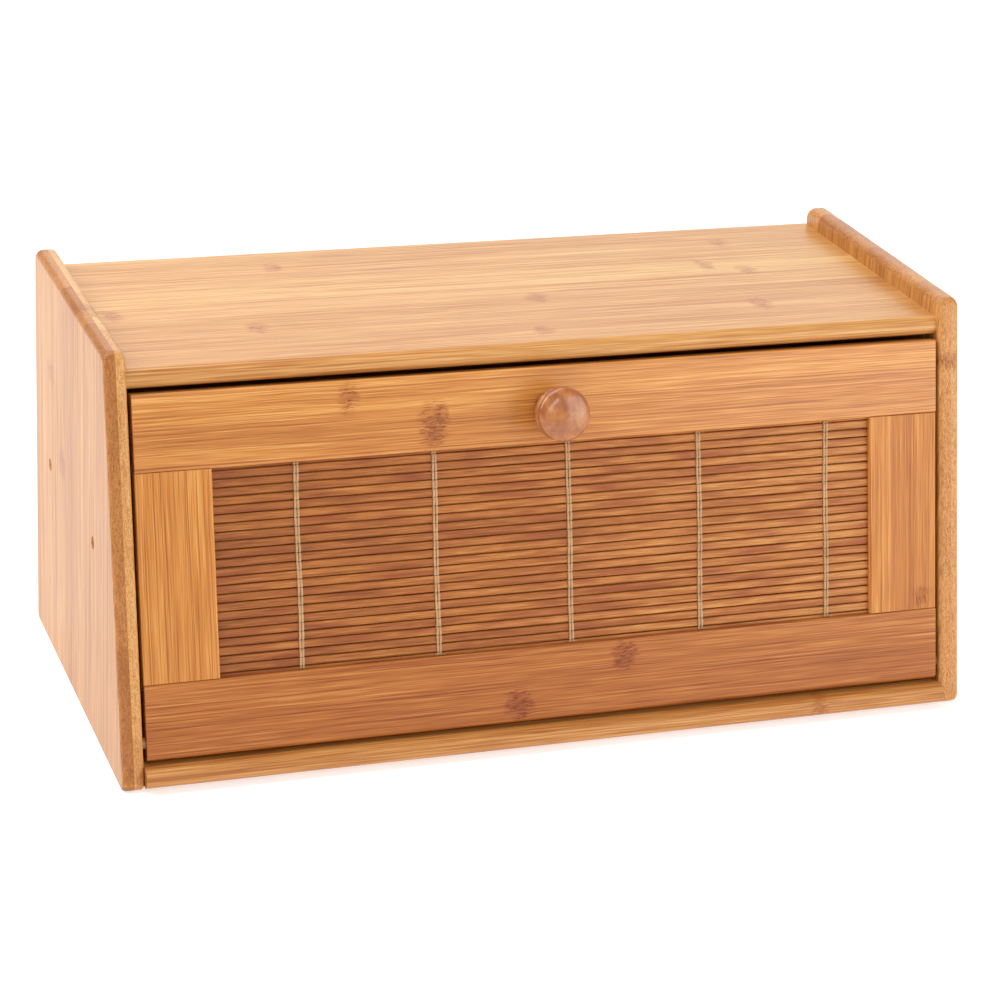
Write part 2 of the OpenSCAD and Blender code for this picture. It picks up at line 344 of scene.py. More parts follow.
@dataclass(frozen=True)
class Palette:
    """A wood's colours: deep, middle and pale tones, and the colour of its reddest fibres."""

    deep: Colour
    middle: Colour
    pale: Colour
    red: Colour

    def colour(self, kit: ShaderKit, tone: Signal, redness: Signal) -> Signal:
        """Return the colour for a tone and a redness, both from 0 to 1."""
        plain = kit.ramp(tone, [(0.0, self.deep), (0.5, self.middle), (1.0, self.pale)])
        return kit.mix(redness, plain, kit.mix(tone, self.deep, self.red))


class Finish(ABC):
    """Something that can dress a piece in a material, which is made once."""

    name: str

    @abstractmethod
    def paint(self, kit: ShaderKit) -> None:
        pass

    def material(self) -> bpy.types.Material:
        """Make the material at the first call, and find it again at later ones.

        Returns:
            The finished material.
        """
        made = bpy.data.materials.get(self.name)
        if made is None:
            kit = ShaderKit(self.name)
            self.paint(kit)
            made = kit.material
        return made


@dataclass(frozen=True)
class Bamboo(Finish):
    """Laminated bamboo, solid through and through, under a satin lacquer."""

    name: str
    grain: Grain
    strips: Strips
    palette: Palette
    knuckles: tuple[Knuckle, ...] = ()
    ply_and_highlight: Optional[PlyAndHighlight] = None
    contrast: float = 1.0
    end_dark: float = -0.08
    end_red: float = 0.1
    roughness: float = 0.4
    coat: float = 0.2
    shine: float = 0.3

    def paint(self, kit: ShaderKit) -> None:
        along, across, through = self._axes(kit, kit.place())
        end_grain = abs(self._axes(kit, kit.facing())[0]).above(0.02, 0.3)
        light, red, seed = self._lay(kit, across, through)
        marks, specks = self._marks(kit, along, across, through)
        where = self._wander(kit, along + seed * 3.0, across + seed * 0.7, through, marks)
        broad = self._streaks(kit, where, Streak.BROAD) - 0.5
        fibres = self._streaks(kit, where, Streak.FIBRE) - 0.5
        fine = self._streaks(kit, where, Streak.FINE) - 0.5
        lines = self._streaks(kit, where, Streak.LINE).above(0.56, 0.67)
        cut = self._streaks(kit, where, Streak.CUT_END) - 0.5
        flat = broad * 0.55 + fibres * 1.2 + fine * 1.1 - lines * 0.16
        ends = broad * 0.3 + cut * 2.4 - cut.above(0.03, 0.09) * 0.7
        flat = flat * self.contrast
        grain = flat + (ends - flat) * end_grain
        tone = light + (light - 0.5) * end_grain * 0.8 + grain - end_grain * self.end_dark
        glue = self._glue(kit, across) * (1.0 - end_grain)
        tone = tone - specks * 0.6 - marks * 0.08 - glue * 0.28
        redness = red * 0.9 + lines * 0.4 + end_grain * self.end_red + marks * 0.35
        colour = self.palette.colour(kit, tone, redness)
        rough = self.roughness + fine * 0.2 + lines * 0.08
        height = fine * 0.5 + fibres * 0.7 - lines * 0.3 - specks
        finish = {"Coat Weight": self.coat, "Coat Roughness": 0.22}
        finish["Specular IOR Level"] = self.shine
        kit.finish(colour, rough, kit.bump(height, 0.06, 0.35), finish)

    def _lay(
        self, kit: ShaderKit, across: Signal, through: Signal
    ) -> tuple[Signal, Signal, Signal]:
        """Return the light, the redness and the seed of the strip at a point.

        Args:
            across: The distance across the fibres, in metres.
            through: The distance through the board, in metres.

        Returns:
            The light, the redness and the seed.
        """
        if self.ply_and_highlight is None:
            return kit.split(self._strip(kit, across))
        far = (through - self.ply_and_highlight.at * MM).above(-0.0001, 0.0001)
        light, red, seed = kit.split(self._strip(kit, across + far * (self.ply_and_highlight.shift * MM)))
        # The far side's extra light is the inner layer's own paler tone on the left panel, and a
        # painted highlight along the rounded outer edge on the right panel
        return light + far * self.ply_and_highlight.light, red + far * self.ply_and_highlight.red, seed + far * 0.31

    def _share(self, across: Signal) -> Signal:
        """Return how far a place lies across the strips, from 0 to 1."""
        return (across - self.strips.start * MM) * (1.0 / (self.strips.span() * MM))

    def _strip(self, kit: ShaderKit, across: Signal) -> Signal:
        """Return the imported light, redness and seed of the strip at a place across the board."""
        return kit.ramp(self._share(across), self.strips.stops(), "CONSTANT")

    def _glue(self, kit: ShaderKit, across: Signal) -> Signal:
        """Return 1 on the thin glue lines between the strips."""
        place = kit.math("FRACT", self._share(across) * len(self.strips.shades))
        return abs(place - 0.5).above(0.5 - 0.3 / self.strips.width, 0.5)

    def _axes(self, kit: ShaderKit, vector: Signal) -> tuple[Signal, Signal, Signal]:
        """Return a vector's numbers along, across and through the board."""
        x, y, z = kit.split(vector)
        by_name = {"x": x, "y": y, "z": z}
        return tuple(by_name[letter] for letter in self.grain.value)

    @staticmethod
    def _wander(
        kit: ShaderKit, along: Signal, across: Signal, through: Signal, marks: Value
    ) -> Signal:
        """Find the point in the grain, which sways a little and bends round the node marks.

        Args:
            along: The distance along the fibres, in metres.
            across: The distance across the fibres, in metres.
            through: The distance through the board, in metres.
            marks: The soft mask of the node marks.

        Returns:
            The point at which the streaks are read.
        """
        whole = kit.join(along, across, through)
        sway = kit.noise(whole, SWAY_SCALES, 1.0, 0.5) - 0.5
        bend = kit.noise(whole, BEND_SCALES, 1.0, 0.5) - 0.5
        return kit.join(along, across + sway * SWAY_M + marks * bend * BEND_M, through)

    @staticmethod
    def _streaks(kit: ShaderKit, where: Signal, streak: Streak) -> Signal:
        """Return noise that is drawn out along the fibres."""
        along, across, detail = streak.value
        return kit.noise(where, (along, across, across), detail)

    def _marks(
        self, kit: ShaderKit, along: Signal, across: Signal, through: Signal
    ) -> tuple[Value, Signal]:
        """Draw the node marks, with their edges torn by noise.

        Args:
            along: The distance along the fibres, in metres.
            across: The distance across the fibres, in metres.
            through: The distance through the board, in metres.

        Returns:
            The soft mask of the marks, which is 0 without any, and their dark specks.
        """
        where = kit.join(along, across, through)
        wobble = kit.noise(where, (150.0, 300.0, 300.0), 2.0, 0.5) - 0.5
        mask: Value = 0.0
        for mark in self.knuckles:
            sizes = (1.0 / (mark.reach * MM), 1.0 / (mark.width * MM), 0.0)
            scaled = kit.vector_math("MULTIPLY", where, sizes)
            centre = (mark.along / mark.reach, mark.across / mark.width, 0.0)
            away = kit.vector_math("DISTANCE", scaled, centre, 1) + wobble * 1.2
            mask = ((1.0 - away.above(0.1, 1.1)) * mark.depth).largest(mask)
        dashes = kit.noise(where, (260.0, 900.0, 900.0), 2.0, 0.65)
        return mask, dashes.above(0.48, 0.64) * mask


@dataclass(frozen=True)
class SplitBamboo(Finish):
    """Split slats: each has its own shade and its own drawn-out fibres."""

    name: str
    palette: Palette
    # How much the mat's tone rises from left to right: partly the slats' own tone, partly painted
    # light from the right
    drift: float = 0.9

    def paint(self, kit: ShaderKit) -> None:
        shade = kit.attribute("shade")
        seed = kit.attribute("seed")
        x, y, z = kit.split(kit.place())
        where = kit.join(x + seed * 5.0, y, z)
        patches = self._drawn(kit, where, (40.0, 420.0)) - 0.5
        fibres = self._drawn(kit, where, (20.0, 1300.0)) - 0.5
        fine = self._drawn(kit, where, (90.0, 3000.0)) - 0.5
        lines = fibres.above(0.07, 0.18)
        # x * drift darkens the mat's left and lightens its right: partly the slats' own tone,
        # partly painted light from the right
        tone = shade + patches * 0.6 + fibres * 0.85 + fine * 0.9 - lines * 0.2 + x * self.drift
        redness = (kit.noise(where, (35.0, 260.0, 260.0), 1.0, 0.5) - 0.45) * 3.0
        colour = self.palette.colour(kit, tone, redness)
        height = fibres * 0.6 + fine * 0.4 - lines * 0.4
        finish = {"Coat Weight": 0.1, "Coat Roughness": 0.3, "Specular IOR Level": 0.35}
        kit.finish(colour, 0.46 + fine * 0.2, kit.bump(height, 0.08, 0.4), finish)

    @staticmethod
    def _drawn(kit: ShaderKit, where: Signal, scales: Point2) -> Signal:
        """Return noise that is drawn out along the slats; scales are per metre."""
        return kit.noise(where, (scales[0], scales[1], scales[1]), 2.0, 0.6)


@dataclass(frozen=True)
class Cotton(Finish):
    """Undyed cotton yarn with loose fibres in its twist."""

    name: str
    colour: Colour
    shadow: Colour

    def paint(self, kit: ShaderKit) -> None:
        place = kit.place()
        x, y, z = kit.split(place)
        twist = abs(kit.math("FRACT", z * 900.0 + x * 1300.0 + y * 700.0) - 0.5).above(0.28, 0.5)
        fibres = kit.noise(place, (5200.0, 5200.0, 1500.0), 2.0, 0.6)
        soiling = kit.noise(place, 160.0, 2.0, 0.6)
        # The twist lines are darkened as well as sunk: painted shade in the grooves of the twist
        share = fibres * 0.7 + soiling * 0.5 - twist * 0.22
        colour = kit.ramp(share, [(0.2, self.shadow), (0.7, self.colour)])
        height = fibres * 0.5 - twist * 0.5
        kit.finish(colour, 0.8 + fibres * 0.1, kit.bump(height, 0.12, 0.6), {"Sheen Weight": 0.2})


@dataclass(frozen=True)
class TurnedWood(Finish):
    """Fine close wood, turned and lacquered, with growth rings through it."""

    name: str
    deep: Colour
    middle: Colour
    pale: Colour
    coat: float = 0.6

    def paint(self, kit: ShaderKit) -> None:
        place = kit.place()
        mottle = kit.noise(place, 170.0, 3.0, 0.55)
        pores = kit.noise(place, (2400.0, 600.0, 2400.0), 1.0, 0.5)
        grain = kit.noise(place, (500.0, 60.0, 180.0), 2.0, 0.6)
        tone = 0.5 + (mottle - 0.5) * 1.1 + (grain - 0.5) * 0.5 + (pores - 0.5) * 0.25
        colour = kit.ramp(tone, [(0.1, self.deep), (0.5, self.middle), (0.9, self.pale)])
        height = mottle * 0.6 + pores * 0.4
        bump = kit.bump(height, 0.05, 0.3)
        finish = {"Coat Weight": self.coat, "Coat Roughness": 0.14, "Coat IOR": 1.6}
        kit.finish(colour, 0.36 + (pores - 0.5) * 0.1, bump, finish)


@dataclass(frozen=True)
class DowelWood(Finish):
    """Straight-grained dowel rod, unlacquered."""

    name: str
    deep: Colour
    pale: Colour

    def paint(self, kit: ShaderKit) -> None:
        place = kit.place()
        grain = kit.noise(place, (25.0, 1400.0, 1400.0), 2.0, 0.6)
        pores = kit.noise(place, (300.0, 3200.0, 3200.0), 1.0, 0.5)
        colour = kit.ramp(grain * 0.7 + pores * 0.3, [(0.3, self.deep), (0.7, self.pale)])
        bump = kit.bump(grain, 0.05, 0.4)
        kit.finish(colour, 0.6 + (pores - 0.5) * 0.2, bump, {"Coat Weight": 0.0})


@dataclass(frozen=True)
class ZincSteel(Finish):
    """Bright zinc plating with fine scuffs."""

    name: str
    colour: Colour

    def paint(self, kit: ShaderKit) -> None:
        place = kit.place()
        clouds = kit.noise(place, 900.0, 3.0, 0.6)
        scuffs = kit.noise(place, (3000.0, 400.0, 800.0), 2.0, 0.6)
        dull = tuple(part * 0.72 for part in self.colour)
        colour = kit.mix(clouds.above(0.35, 0.7), dull, self.colour)
        kit.finish(colour, 0.28 + scuffs * 0.25, kit.bump(scuffs, 0.02, 0.3), {"Metallic": 1.0})


@dataclass(frozen=True)
class Worktop(Finish):
    """The plain pale floor, which glows a little, as paper does in a light tent."""

    name: str
    colour: Colour
    glow: float

    def paint(self, kit: ShaderKit) -> None:
        finish = {"Emission Color": (1.0, 1.0, 1.0, 1.0), "Emission Strength": self.glow}
        finish["Specular IOR Level"] = 0.1
        kit.finish(self.colour, 0.9, None, finish)


# ---- Mesh work ----


def arc(centre: Point2, radius: float, start: float, sweep: float, steps: int) -> list[Point2]:
    """Return the points of an arc, both ends included; angles are in degrees."""
    angles = [math.radians(start + sweep * i / steps) for i in range(steps + 1)]
    return [(centre[0] + radius * math.cos(a), centre[1] + radius * math.sin(a)) for a in angles]


def rounded(corners: Sequence[tuple[float, float, float]], steps: int = 6) -> list[Point2]:
    """Round the corners of a convex outline that runs anticlockwise.

    Args:
        corners: Each corner as (u, v, radius).
        steps: How many straight pieces each arc has.

    Returns:
        The outline's points.
    """
    outline: list[Point2] = []
    for i, (u, v, radius) in enumerate(corners):
        here = Vector((u, v))
        back = (Vector(corners[i - 1][:2]) - here).normalized()
        ahead = (Vector(corners[(i + 1) % len(corners)][:2]) - here).normalized()
        half = math.acos(max(-1.0, min(1.0, back.dot(ahead)))) / 2
        centre = here + (back + ahead).normalized() * (radius / math.sin(half))
        first = here + back * (radius / math.tan(half)) - centre
        start = math.degrees(math.atan2(first.y, first.x))
        outline += arc((centre.x, centre.y), radius, start, 180 - math.degrees(2 * half), steps)
    return outline


def inset(outline: Sequence[Point2], distances: Sequence[float]) -> list[Point2]:
    """Move the points of an anticlockwise convex outline inwards, each by its own distance.

    Args:
        outline: The outline's points.
        distances: The distance for each point.

    Returns:
        The moved points.
    """
    inner = []
    for i, (point, distance) in enumerate(zip(outline, distances)):
        here = Vector(point)
        before = (here - Vector(outline[i - 1])).normalized()
        after = (Vector(outline[(i + 1) % len(outline)]) - here).normalized()
        normal = (Vector((-before.y, before.x)) + Vector((-after.y, after.x))).normalized()
        reach = distance / max(0.3, normal.dot(Vector((-before.y, before.x))))
        inner.append(tuple(here + normal * reach))
    return inner


class Sweep(Enum):
    """How an outline's (u, v) and its distance w along the sweep become x, y and z."""

    ALONG_X = (1, 2, 0)
    ALONG_Z = (0, 1, 2)

    def point(self, u: float, v: float, w: float) -> Vector:
        """Place a point of the swept shape.

        Args:
            u: The first number in the outline, in millimetres.
            v: The second number in the outline.
            w: The distance along the sweep.

        Returns:
            The point in metres.
        """
        place = [0.0, 0.0, 0.0]
        for axis, value in zip(self.value, (u, v, w)):
            place[axis] = value * MM
        return Vector(place)


def loft(mesh: Mesh, rings: Sequence[Sequence[Vector]]) -> None:
    """Join rings of equally many points with faces, and close the ends.

    Args:
        mesh: The mesh that the faces are added to.
        rings: The rings, from one end to the other.
    """
    rows = [[mesh.verts.new(point) for point in ring] for ring in rings]
    for low, high in zip(rows, rows[1:]):
        for i in range(len(low)):
            j = (i + 1) % len(low)
            mesh.faces.new((low[i], low[j], high[j], high[i]))
    mesh.faces.new(rows[0][::-1])
    mesh.faces.new(rows[-1])


def prism(
    outline: Sequence[Point2], ends: Point2, rim: Union[float, Sequence[float]], sweep: Sweep
) -> Mesh:
    """Return a closed prism whose end edges are rounded.

    Args:
        outline: The prism's outline.
        ends: The lowest and highest distance along the sweep.
        rim: The radius of the end edges, or one radius for each point of the outline.
        sweep: How the outline is swept.

    Returns:
        The closed mesh.
    """
    mesh = bmesh.new()
    if rim == 0:
        loft(mesh, [[sweep.point(u, v, w) for u, v in outline] for w in ends])
        return mesh
    radii = [rim] * len(outline) if isinstance(rim, float) else list(rim)
    angles = [math.pi / 2 * i / RIM_STEPS for i in range(RIM_STEPS + 1)]
    rings = []
    for end, inward, turns in ((ends[0], 1, angles), (ends[1], -1, angles[::-1])):
        for a in turns:
            points = inset(outline, [r * (1 - math.sin(a)) for r in radii])
            reach = [end + inward * r * (1 - math.cos(a)) for r in radii]
            rings.append([sweep.point(u, v, w) for (u, v), w in zip(points, reach)])
    loft(mesh, rings)
    return mesh


def lathe(profile: Sequence[Point2], sides: int) -> Mesh:
    """Turn a profile about the Z axis.

    Args:
        profile: Points as (radius, height), from the bottom to the top; the first and the
            last lie on the axis.
        sides: How many faces go round.

    Returns:
        The closed mesh.
    """
    mesh = bmesh.new()
    turns = [2 * math.pi * i / sides for i in range(sides)]
    inner = profile[1:-1]
    rounds = [[(r * math.cos(a), r * math.sin(a), h) for a in turns] for r, h in inner]
    rows = [[mesh.verts.new(Vector(point) * MM) for point in ring] for ring in rounds]
    poles = [mesh.verts.new((0.0, 0.0, profile[end][1] * MM)) for end in (0, -1)]
    for low, high in zip(rows, rows[1:]):
        for i in range(sides):
            j = (i + 1) % sides
            mesh.faces.new((low[i], low[j], high[j], high[i]))
    for pole, row in zip(poles, (rows[0], rows[-1])):
        for i in range(sides):
            mesh.faces.new((pole, row[i], row[(i + 1) % sides]))
    return mesh


def tube(mesh: Mesh, path: Sequence[Vector], radius: float, sides: int, taper: float) -> None:
    """Add a closed tube along a path of points in metres.

    Args:
        mesh: The mesh that the tube is added to.
        path: The points that it follows.
        radius: Its radius in millimetres.
        sides: How many faces go round.
        taper: The radius at the far end as a share of the radius.
    """
    rings = []
    side = Vector((1.0, 0.0, 0.0))
    for i, here in enumerate(path):
        ahead = (path[min(i + 1, len(path) - 1)] - path[max(i - 1, 0)]).normalized()
        side = (side - ahead * side.dot(ahead)).normalized()
        other = ahead.cross(side)
        size = radius * MM * (1 + (taper - 1) * i / (len(path) - 1))
        turns = [2 * math.pi * k / sides for k in range(sides)]
        rings.append([here + (side * math.cos(a) + other * math.sin(a)) * size for a in turns])
    loft(mesh, rings)


def block(low: Sequence[float], high: Sequence[float]) -> Mesh:
    """Return a sharp-edged shape between two corners, for grooves and tenons."""
    outline = [(low[1], low[2]), (high[1], low[2]), (high[1], high[2]), (low[1], high[2])]
    return prism(outline, (low[0], high[0]), 0.0, Sweep.ALONG_X)


def bar(
    low: Point2, high: Point2, edges: Sequence[float], ends: Point2, rim: float, steps: int = 6
) -> Mesh:
    """Return a bar along X; its edges are rounded from the low front one anticlockwise."""
    places = ((low[0], low[1]), (high[0], low[1]), (high[0], high[1]), (low[0], high[1]))
    outline = rounded([(*place, edge) for place, edge in zip(places, edges)], steps)
    return prism(outline, ends, rim, Sweep.ALONG_X)


def moved(mesh: Mesh, matrix: Matrix) -> Mesh:
    """Move a mesh by a matrix and return it."""
    bmesh.ops.transform(mesh, matrix=matrix, verts=mesh.verts)
    return mesh


def span(side: int, near: float, far: float) -> Point2:
    """Return two distances from the middle as x values in order; side is -1 or 1."""
    low, high = sorted((side * near, side * far))
    return low, high


# ---- Making pieces ----


class Workshop:
    """Turns meshes into pieces: carves, smooths, places and dresses them."""

    def merge(self, parts: Iterable[Mesh]) -> Mesh:
        """Put several meshes together.

        Args:
            parts: The meshes, which are freed.

        Returns:
            One mesh that holds them all.
        """
        whole = bmesh.new()
        for part in parts:
            data = bpy.data.meshes.new("part")
            part.to_mesh(data)
            part.free()
            whole.from_mesh(data)
            bpy.data.meshes.remove(data)
        return whole

    def _raw(self, mesh: Mesh, name: str) -> bpy.types.Object:
        """Put a mesh in an object, with its faces turned outwards.

        Args:
            mesh: The mesh, which is freed.
            name: The object's name.

        Returns:
            The object.
        """
        bmesh.ops.recalc_face_normals(mesh, faces=mesh.faces)
        data = bpy.data.meshes.new(name)
        mesh.to_mesh(data)
        mesh.free()
        made = bpy.data.objects.new(name, data)
        bpy.context.scene.collection.objects.link(made)
        return made

    def carve(self, solid: bpy.types.Object, tool: Mesh, how: str = "DIFFERENCE") -> None:
        """Cut a tool's shape out of a solid, or join the two.

        Args:
            solid: The object whose mesh is carved.
            tool: The shape, as a closed mesh in the solid's own axes.
            how: DIFFERENCE or UNION.
        """
        cutter = self._raw(tool, "cutter")
        step = solid.modifiers.new("carve", "BOOLEAN")
        step.operation, step.solver, step.object = how, "EXACT", cutter
        bpy.context.view_layer.update()
        before = solid.data
        evaluated = solid.evaluated_get(bpy.context.evaluated_depsgraph_get())
        after = bpy.data.meshes.new_from_object(evaluated)
        solid.modifiers.clear()
        solid.data = after
        after.name = solid.name
        bpy.data.meshes.remove(before)
        bpy.data.objects.remove(cutter)

    def piece(
        self,
        name: str,
        node: str,
        mesh: Mesh,
        finish: Finish,
        body: str,
        slot: str,
        cuts: Sequence[Mesh] = (),
        joins: Sequence[Mesh] = (),
        place: Optional[Matrix] = None,
        crease: float = 35.0,
    ) -> bpy.types.Object:
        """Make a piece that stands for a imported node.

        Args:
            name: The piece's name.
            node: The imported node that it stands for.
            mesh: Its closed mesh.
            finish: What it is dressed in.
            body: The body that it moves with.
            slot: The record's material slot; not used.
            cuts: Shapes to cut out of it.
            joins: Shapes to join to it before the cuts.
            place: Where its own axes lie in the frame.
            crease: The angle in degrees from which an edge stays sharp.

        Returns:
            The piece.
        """
        made = self._raw(mesh, name)
        for shape in joins:
            self.carve(made, shape, "UNION")
        if cuts:
            self.carve(made, self.merge(cuts))
        made.data.shade_smooth()
        made.data.set_sharp_from_angle(angle=math.radians(crease))
        weighted = made.modifiers.new("weighted normals", "WEIGHTED_NORMAL")
        weighted.keep_sharp = True
        made.data.materials.clear()
        made.data.materials.append(finish.material())
        made.matrix_world = place if place is not None else Matrix.Identity(4)
        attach(made, body)
        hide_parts(node)
        log.info("%s: %d faces, %s", name, len(made.data.polygons), finish.name)
        return made

    def dress_node(self, name: str, finish: Finish, slot: str) -> None:
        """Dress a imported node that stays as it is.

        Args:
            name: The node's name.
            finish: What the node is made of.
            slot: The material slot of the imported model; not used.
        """
        packed = frame["nodes"][name]
        packed.data.materials.clear()
        packed.data.materials.append(finish.material())
        log.info("%s: packed mesh kept, %s", name, finish.name)


def along_x(where: Point2, turn: float) -> Matrix:
    """Return the matrix that lays a lathe's Z axis along X, through a y and z."""
    return Matrix.Translation((0, where[0] * MM, where[1] * MM)) @ Matrix.Rotation(turn, 4, "Y")


def rod(ends: Point2, radius: float, where: Point2, chamfer: float = 0.0) -> Mesh:
    """Return a rod along X between two places, with chamfered ends.

    Args:
        ends: Its lowest and highest x.
        radius: Its radius.
        where: The y and z of its axis.
        chamfer: The size of the chamfer at both ends.

    Returns:
        The closed mesh.
    """
    low, high = ends
    soft = chamfer * 0.3
    profile = [(0, low), (radius - chamfer, low), (radius - soft, low + chamfer * 0.4)]
    profile.append((radius, low + chamfer))
    profile += [(r, low + high - h) for r, h in reversed(profile)]
    plain = [(0, low), (radius, low), (radius, high), (0, high)]
    return moved(lathe(profile if chamfer else plain, ROD_SIDES), along_x(where, math.pi / 2))


# ---- The case ----


@dataclass
class Case:
    """The case: two side panels, a top and a base board, a back panel, dowels and pegs."""

    shop: Workshop
    width: float = 402.0
    height: float = 188.0
    foot_y: float = -95.0
    back_y: float = 98.0
    lean_mm: float = 42.5
    side_t: float = 10.0
    side_edge: float = 2.0
    crest_edge: float = 3.5
    crest_depth: float = 4.0
    corner: float = 4.0
    back_corner: float = 5.0
    board_edge: float = 0.4
    back_edge: float = 0.3
    board_t: float = 9.0
    top_z: float = 179.0
    base_z: float = 11.0
    base_nose_y: float = -97.98
    nose_inset: float = 3.3
    back_panel: Point2 = (88.0, 92.0)
    groove: float = 4.0
    dowel_r: float = 2.5
    dowel_depths: Point2 = (6.0, 14.0)
    dowel_edge: float = 30.0
    vent: Point2 = (4.0, 6.0)
    vent_places: tuple[Point2, ...] = ((63.0, 93.0), (-32.0, 93.0))
    finishes: dict[str, Finish] = field(default_factory=dict)

    @property
    def inner_x(self) -> float:
        """The x of the right panel's inner face."""
        return self.width / 2 - self.side_t

    @property
    def lean(self) -> float:
        """How far the front leans back, in radians."""
        return math.atan(self.lean_mm / self.height)

    def front_y(self, z: float) -> float:
        """Return the y of the panels' front edges at a height."""
        return self.foot_y + self.lean_mm * z / self.height

    @property
    def top_nose_y(self) -> float:
        """The y of the top board's nose."""
        return self.front_y(self.top_z - self.board_t / 2) + self.nose_inset

    def build(self, door: "Door") -> None:
        """Build every piece of the case.

        Args:
            door: The door, which gives the places of its pins and pegs.
        """
        for side in (-1, 1):
            self._side(side, door)
            pin_end, peg_end = door.width / 2 - door.pin_in_door, self.inner_x - door.peg_out
            self._stub(side, "pin", "hinge_pin", pin_end, door.pin_r, door.pivot, door.pin_chamfer)
            place, chamfer = door.peg_place(), door.peg_chamfer
            self._stub(side, "peg", "stop_peg", peg_end, door.peg_r, place, chamfer)
        self._board("top", self.top_nose_y, self.top_z)
        self._board("base", self.base_nose_y, self.base_z)
        self._back()
        self.shop.dress_node("top_dowels", self.finishes["dowel"], "dowel_wood")
        self.shop.dress_node("base_dowels", self.finishes["dowel"], "dowel_wood")

    def _dowel_places(self) -> list[Point2]:
        """Find the dowels between the boards and a side panel.

        Returns:
            The y and z of every dowel.
        """
        heights = ((self.top_nose_y, self.top_z), (self.base_nose_y, self.base_z))
        rear_y, half = self.back_panel[0] - self.dowel_edge, self.board_t / 2
        front = [(nose + self.dowel_edge, z - half) for nose, z in heights]
        return front + [(rear_y, z - half) for _, z in heights]

    def _hole(self, side: int, radius: float, where: Point2) -> Mesh:
        """Return the shape of a blind hole in a side panel's inner face."""
        ends = span(side, self.inner_x - OVERCUT, self.inner_x + self.dowel_depths[0])
        return rod(ends, radius, where)

    def _vent(self, side: int, where: Point2) -> Mesh:
        """Shape an air hole with its countersink on the outer face.

        Args:
            side: -1 on the left and 1 on the right.
            where: The y and z of the hole.

        Returns:
            The closed mesh.
        """
        small, wide = self.vent[0] / 2, self.vent[1] / 2
        face = self.width / 2
        profile = [(0, self.inner_x - 1), (small, self.inner_x - 1), (small, face - (wide - small))]
        profile += [(wide, face), (wide, face + 1), (0, face + 1)]
        return moved(lathe(profile, VENT_SIDES), along_x(where, side * math.pi / 2))

    def _back_space(self) -> Mesh:
        """Shape the space that the back panel fills in its grooves.

        Returns:
            The closed mesh.
        """
        x = self.inner_x + self.groove
        low = (-x, self.back_panel[0], self.base_z - self.groove)
        high = (x, self.back_panel[1], self.top_z - self.board_t + self.groove)
        return block(low, high)

    def _rim(self, z: float) -> float:
        """Return the rounding of a side panel's edge at a height: fuller on the crest."""
        share = min(1.0, max(0.0, (z - self.height) / self.crest_depth + 1.0))
        return self.side_edge + (self.crest_edge - self.side_edge) * share

    def _side(self, side: int, door: "Door") -> None:
        """Build a side panel with its holes and grooves.

        Args:
            side: -1 on the left and 1 on the right.
            door: The door, which gives the places of its pin and peg.
        """
        top_front = self.foot_y + self.lean_mm
        corners = [(self.foot_y, 0, self.corner), (self.back_y, 0, self.corner)]
        corners.append((self.back_y, self.height, self.back_corner))
        corners.append((top_front, self.height, self.corner))
        outline = rounded(corners, 8)
        rims = [self._rim(z) for _, z in outline]
        mesh = prism(outline, span(side, self.inner_x, self.width / 2), rims, Sweep.ALONG_X)
        cuts = [self._hole(side, self.dowel_r, place) for place in self._dowel_places()]
        cuts.append(self._hole(side, door.pin_r, door.pivot))
        cuts.append(self._hole(side, door.peg_r, door.peg_place()))
        cuts += [self._vent(side, place) for place in self.vent_places]
        cuts.append(self._back_space())
        hand = HANDS[side]
        node = f"{hand}_side_panel"
        self._make(f"bamboo_panel_{hand}", node, mesh, f"{hand}_panel", "side_bamboo", cuts)

    def _board(self, name: str, nose_y: float, top_z: float) -> None:
        """Build the top or the base board, with its full round nose.

        Args:
            name: Which board: top or base.
            nose_y: The y of the nose's foremost line.
            top_z: The z of the board's upper face.
        """
        r = self.board_t / 2
        outline = arc((nose_y + r, top_z - r), r, 90, 180, 24)
        e = self.board_edge
        for z, start in ((top_z - self.board_t + e, 270), (top_z - e, 0)):
            outline += arc((self.back_y - e, z), e, start, 90, 3)
        mesh = prism(outline, (-self.inner_x, self.inner_x), 0.0, Sweep.ALONG_X)
        cuts = [self._back_space()]
        for side in (-1, 1):
            for y in (nose_y + self.dowel_edge, self.back_panel[0] - self.dowel_edge):
                ends = span(side, self.inner_x - self.dowel_depths[1], self.inner_x + OVERCUT)
                cuts.append(rod(ends, self.dowel_r, (y, top_z - r)))
        self._make(f"bamboo_{name}", f"{name}_board", mesh, f"{name}_board", "board_bamboo", cuts)

    def _back(self) -> None:
        """Build the back panel."""
        low, high = self.base_z - self.groove, self.top_z - self.board_t + self.groove
        front, back = self.back_panel
        x = self.inner_x + self.groove
        mesh = bar((front, low), (back, high), [self.back_edge] * 4, (-x, x), self.back_edge, 2)
        self._make("bamboo_back", "back_panel", mesh, "back_panel", "back_bamboo")

    def _stub(
        self, side: int, name: str, node: str, inner_end: float,
        radius: float, where: Point2, chamfer: float,
    ) -> None:
        """Build a pin or a peg that is glued in a side panel; side is -1 or 1."""
        ends = span(side, inner_end, self.inner_x + self.dowel_depths[0])
        mesh = rod(ends, radius, where, chamfer)
        self._make(f"{name}_{HANDS[side]}", f"{HANDS[side]}_{node}", mesh, "dowel", "dowel_wood")

    def _make(
        self, name: str, node: str, mesh: Mesh, finish: str, slot: str,
        cuts: Sequence[Mesh] = (),
    ) -> None:
        """Make a piece of the case, dressed in one of its finishes."""
        self.shop.piece(name, node, mesh, self.finishes[finish], "case", slot, cuts)


# ---- The door ----


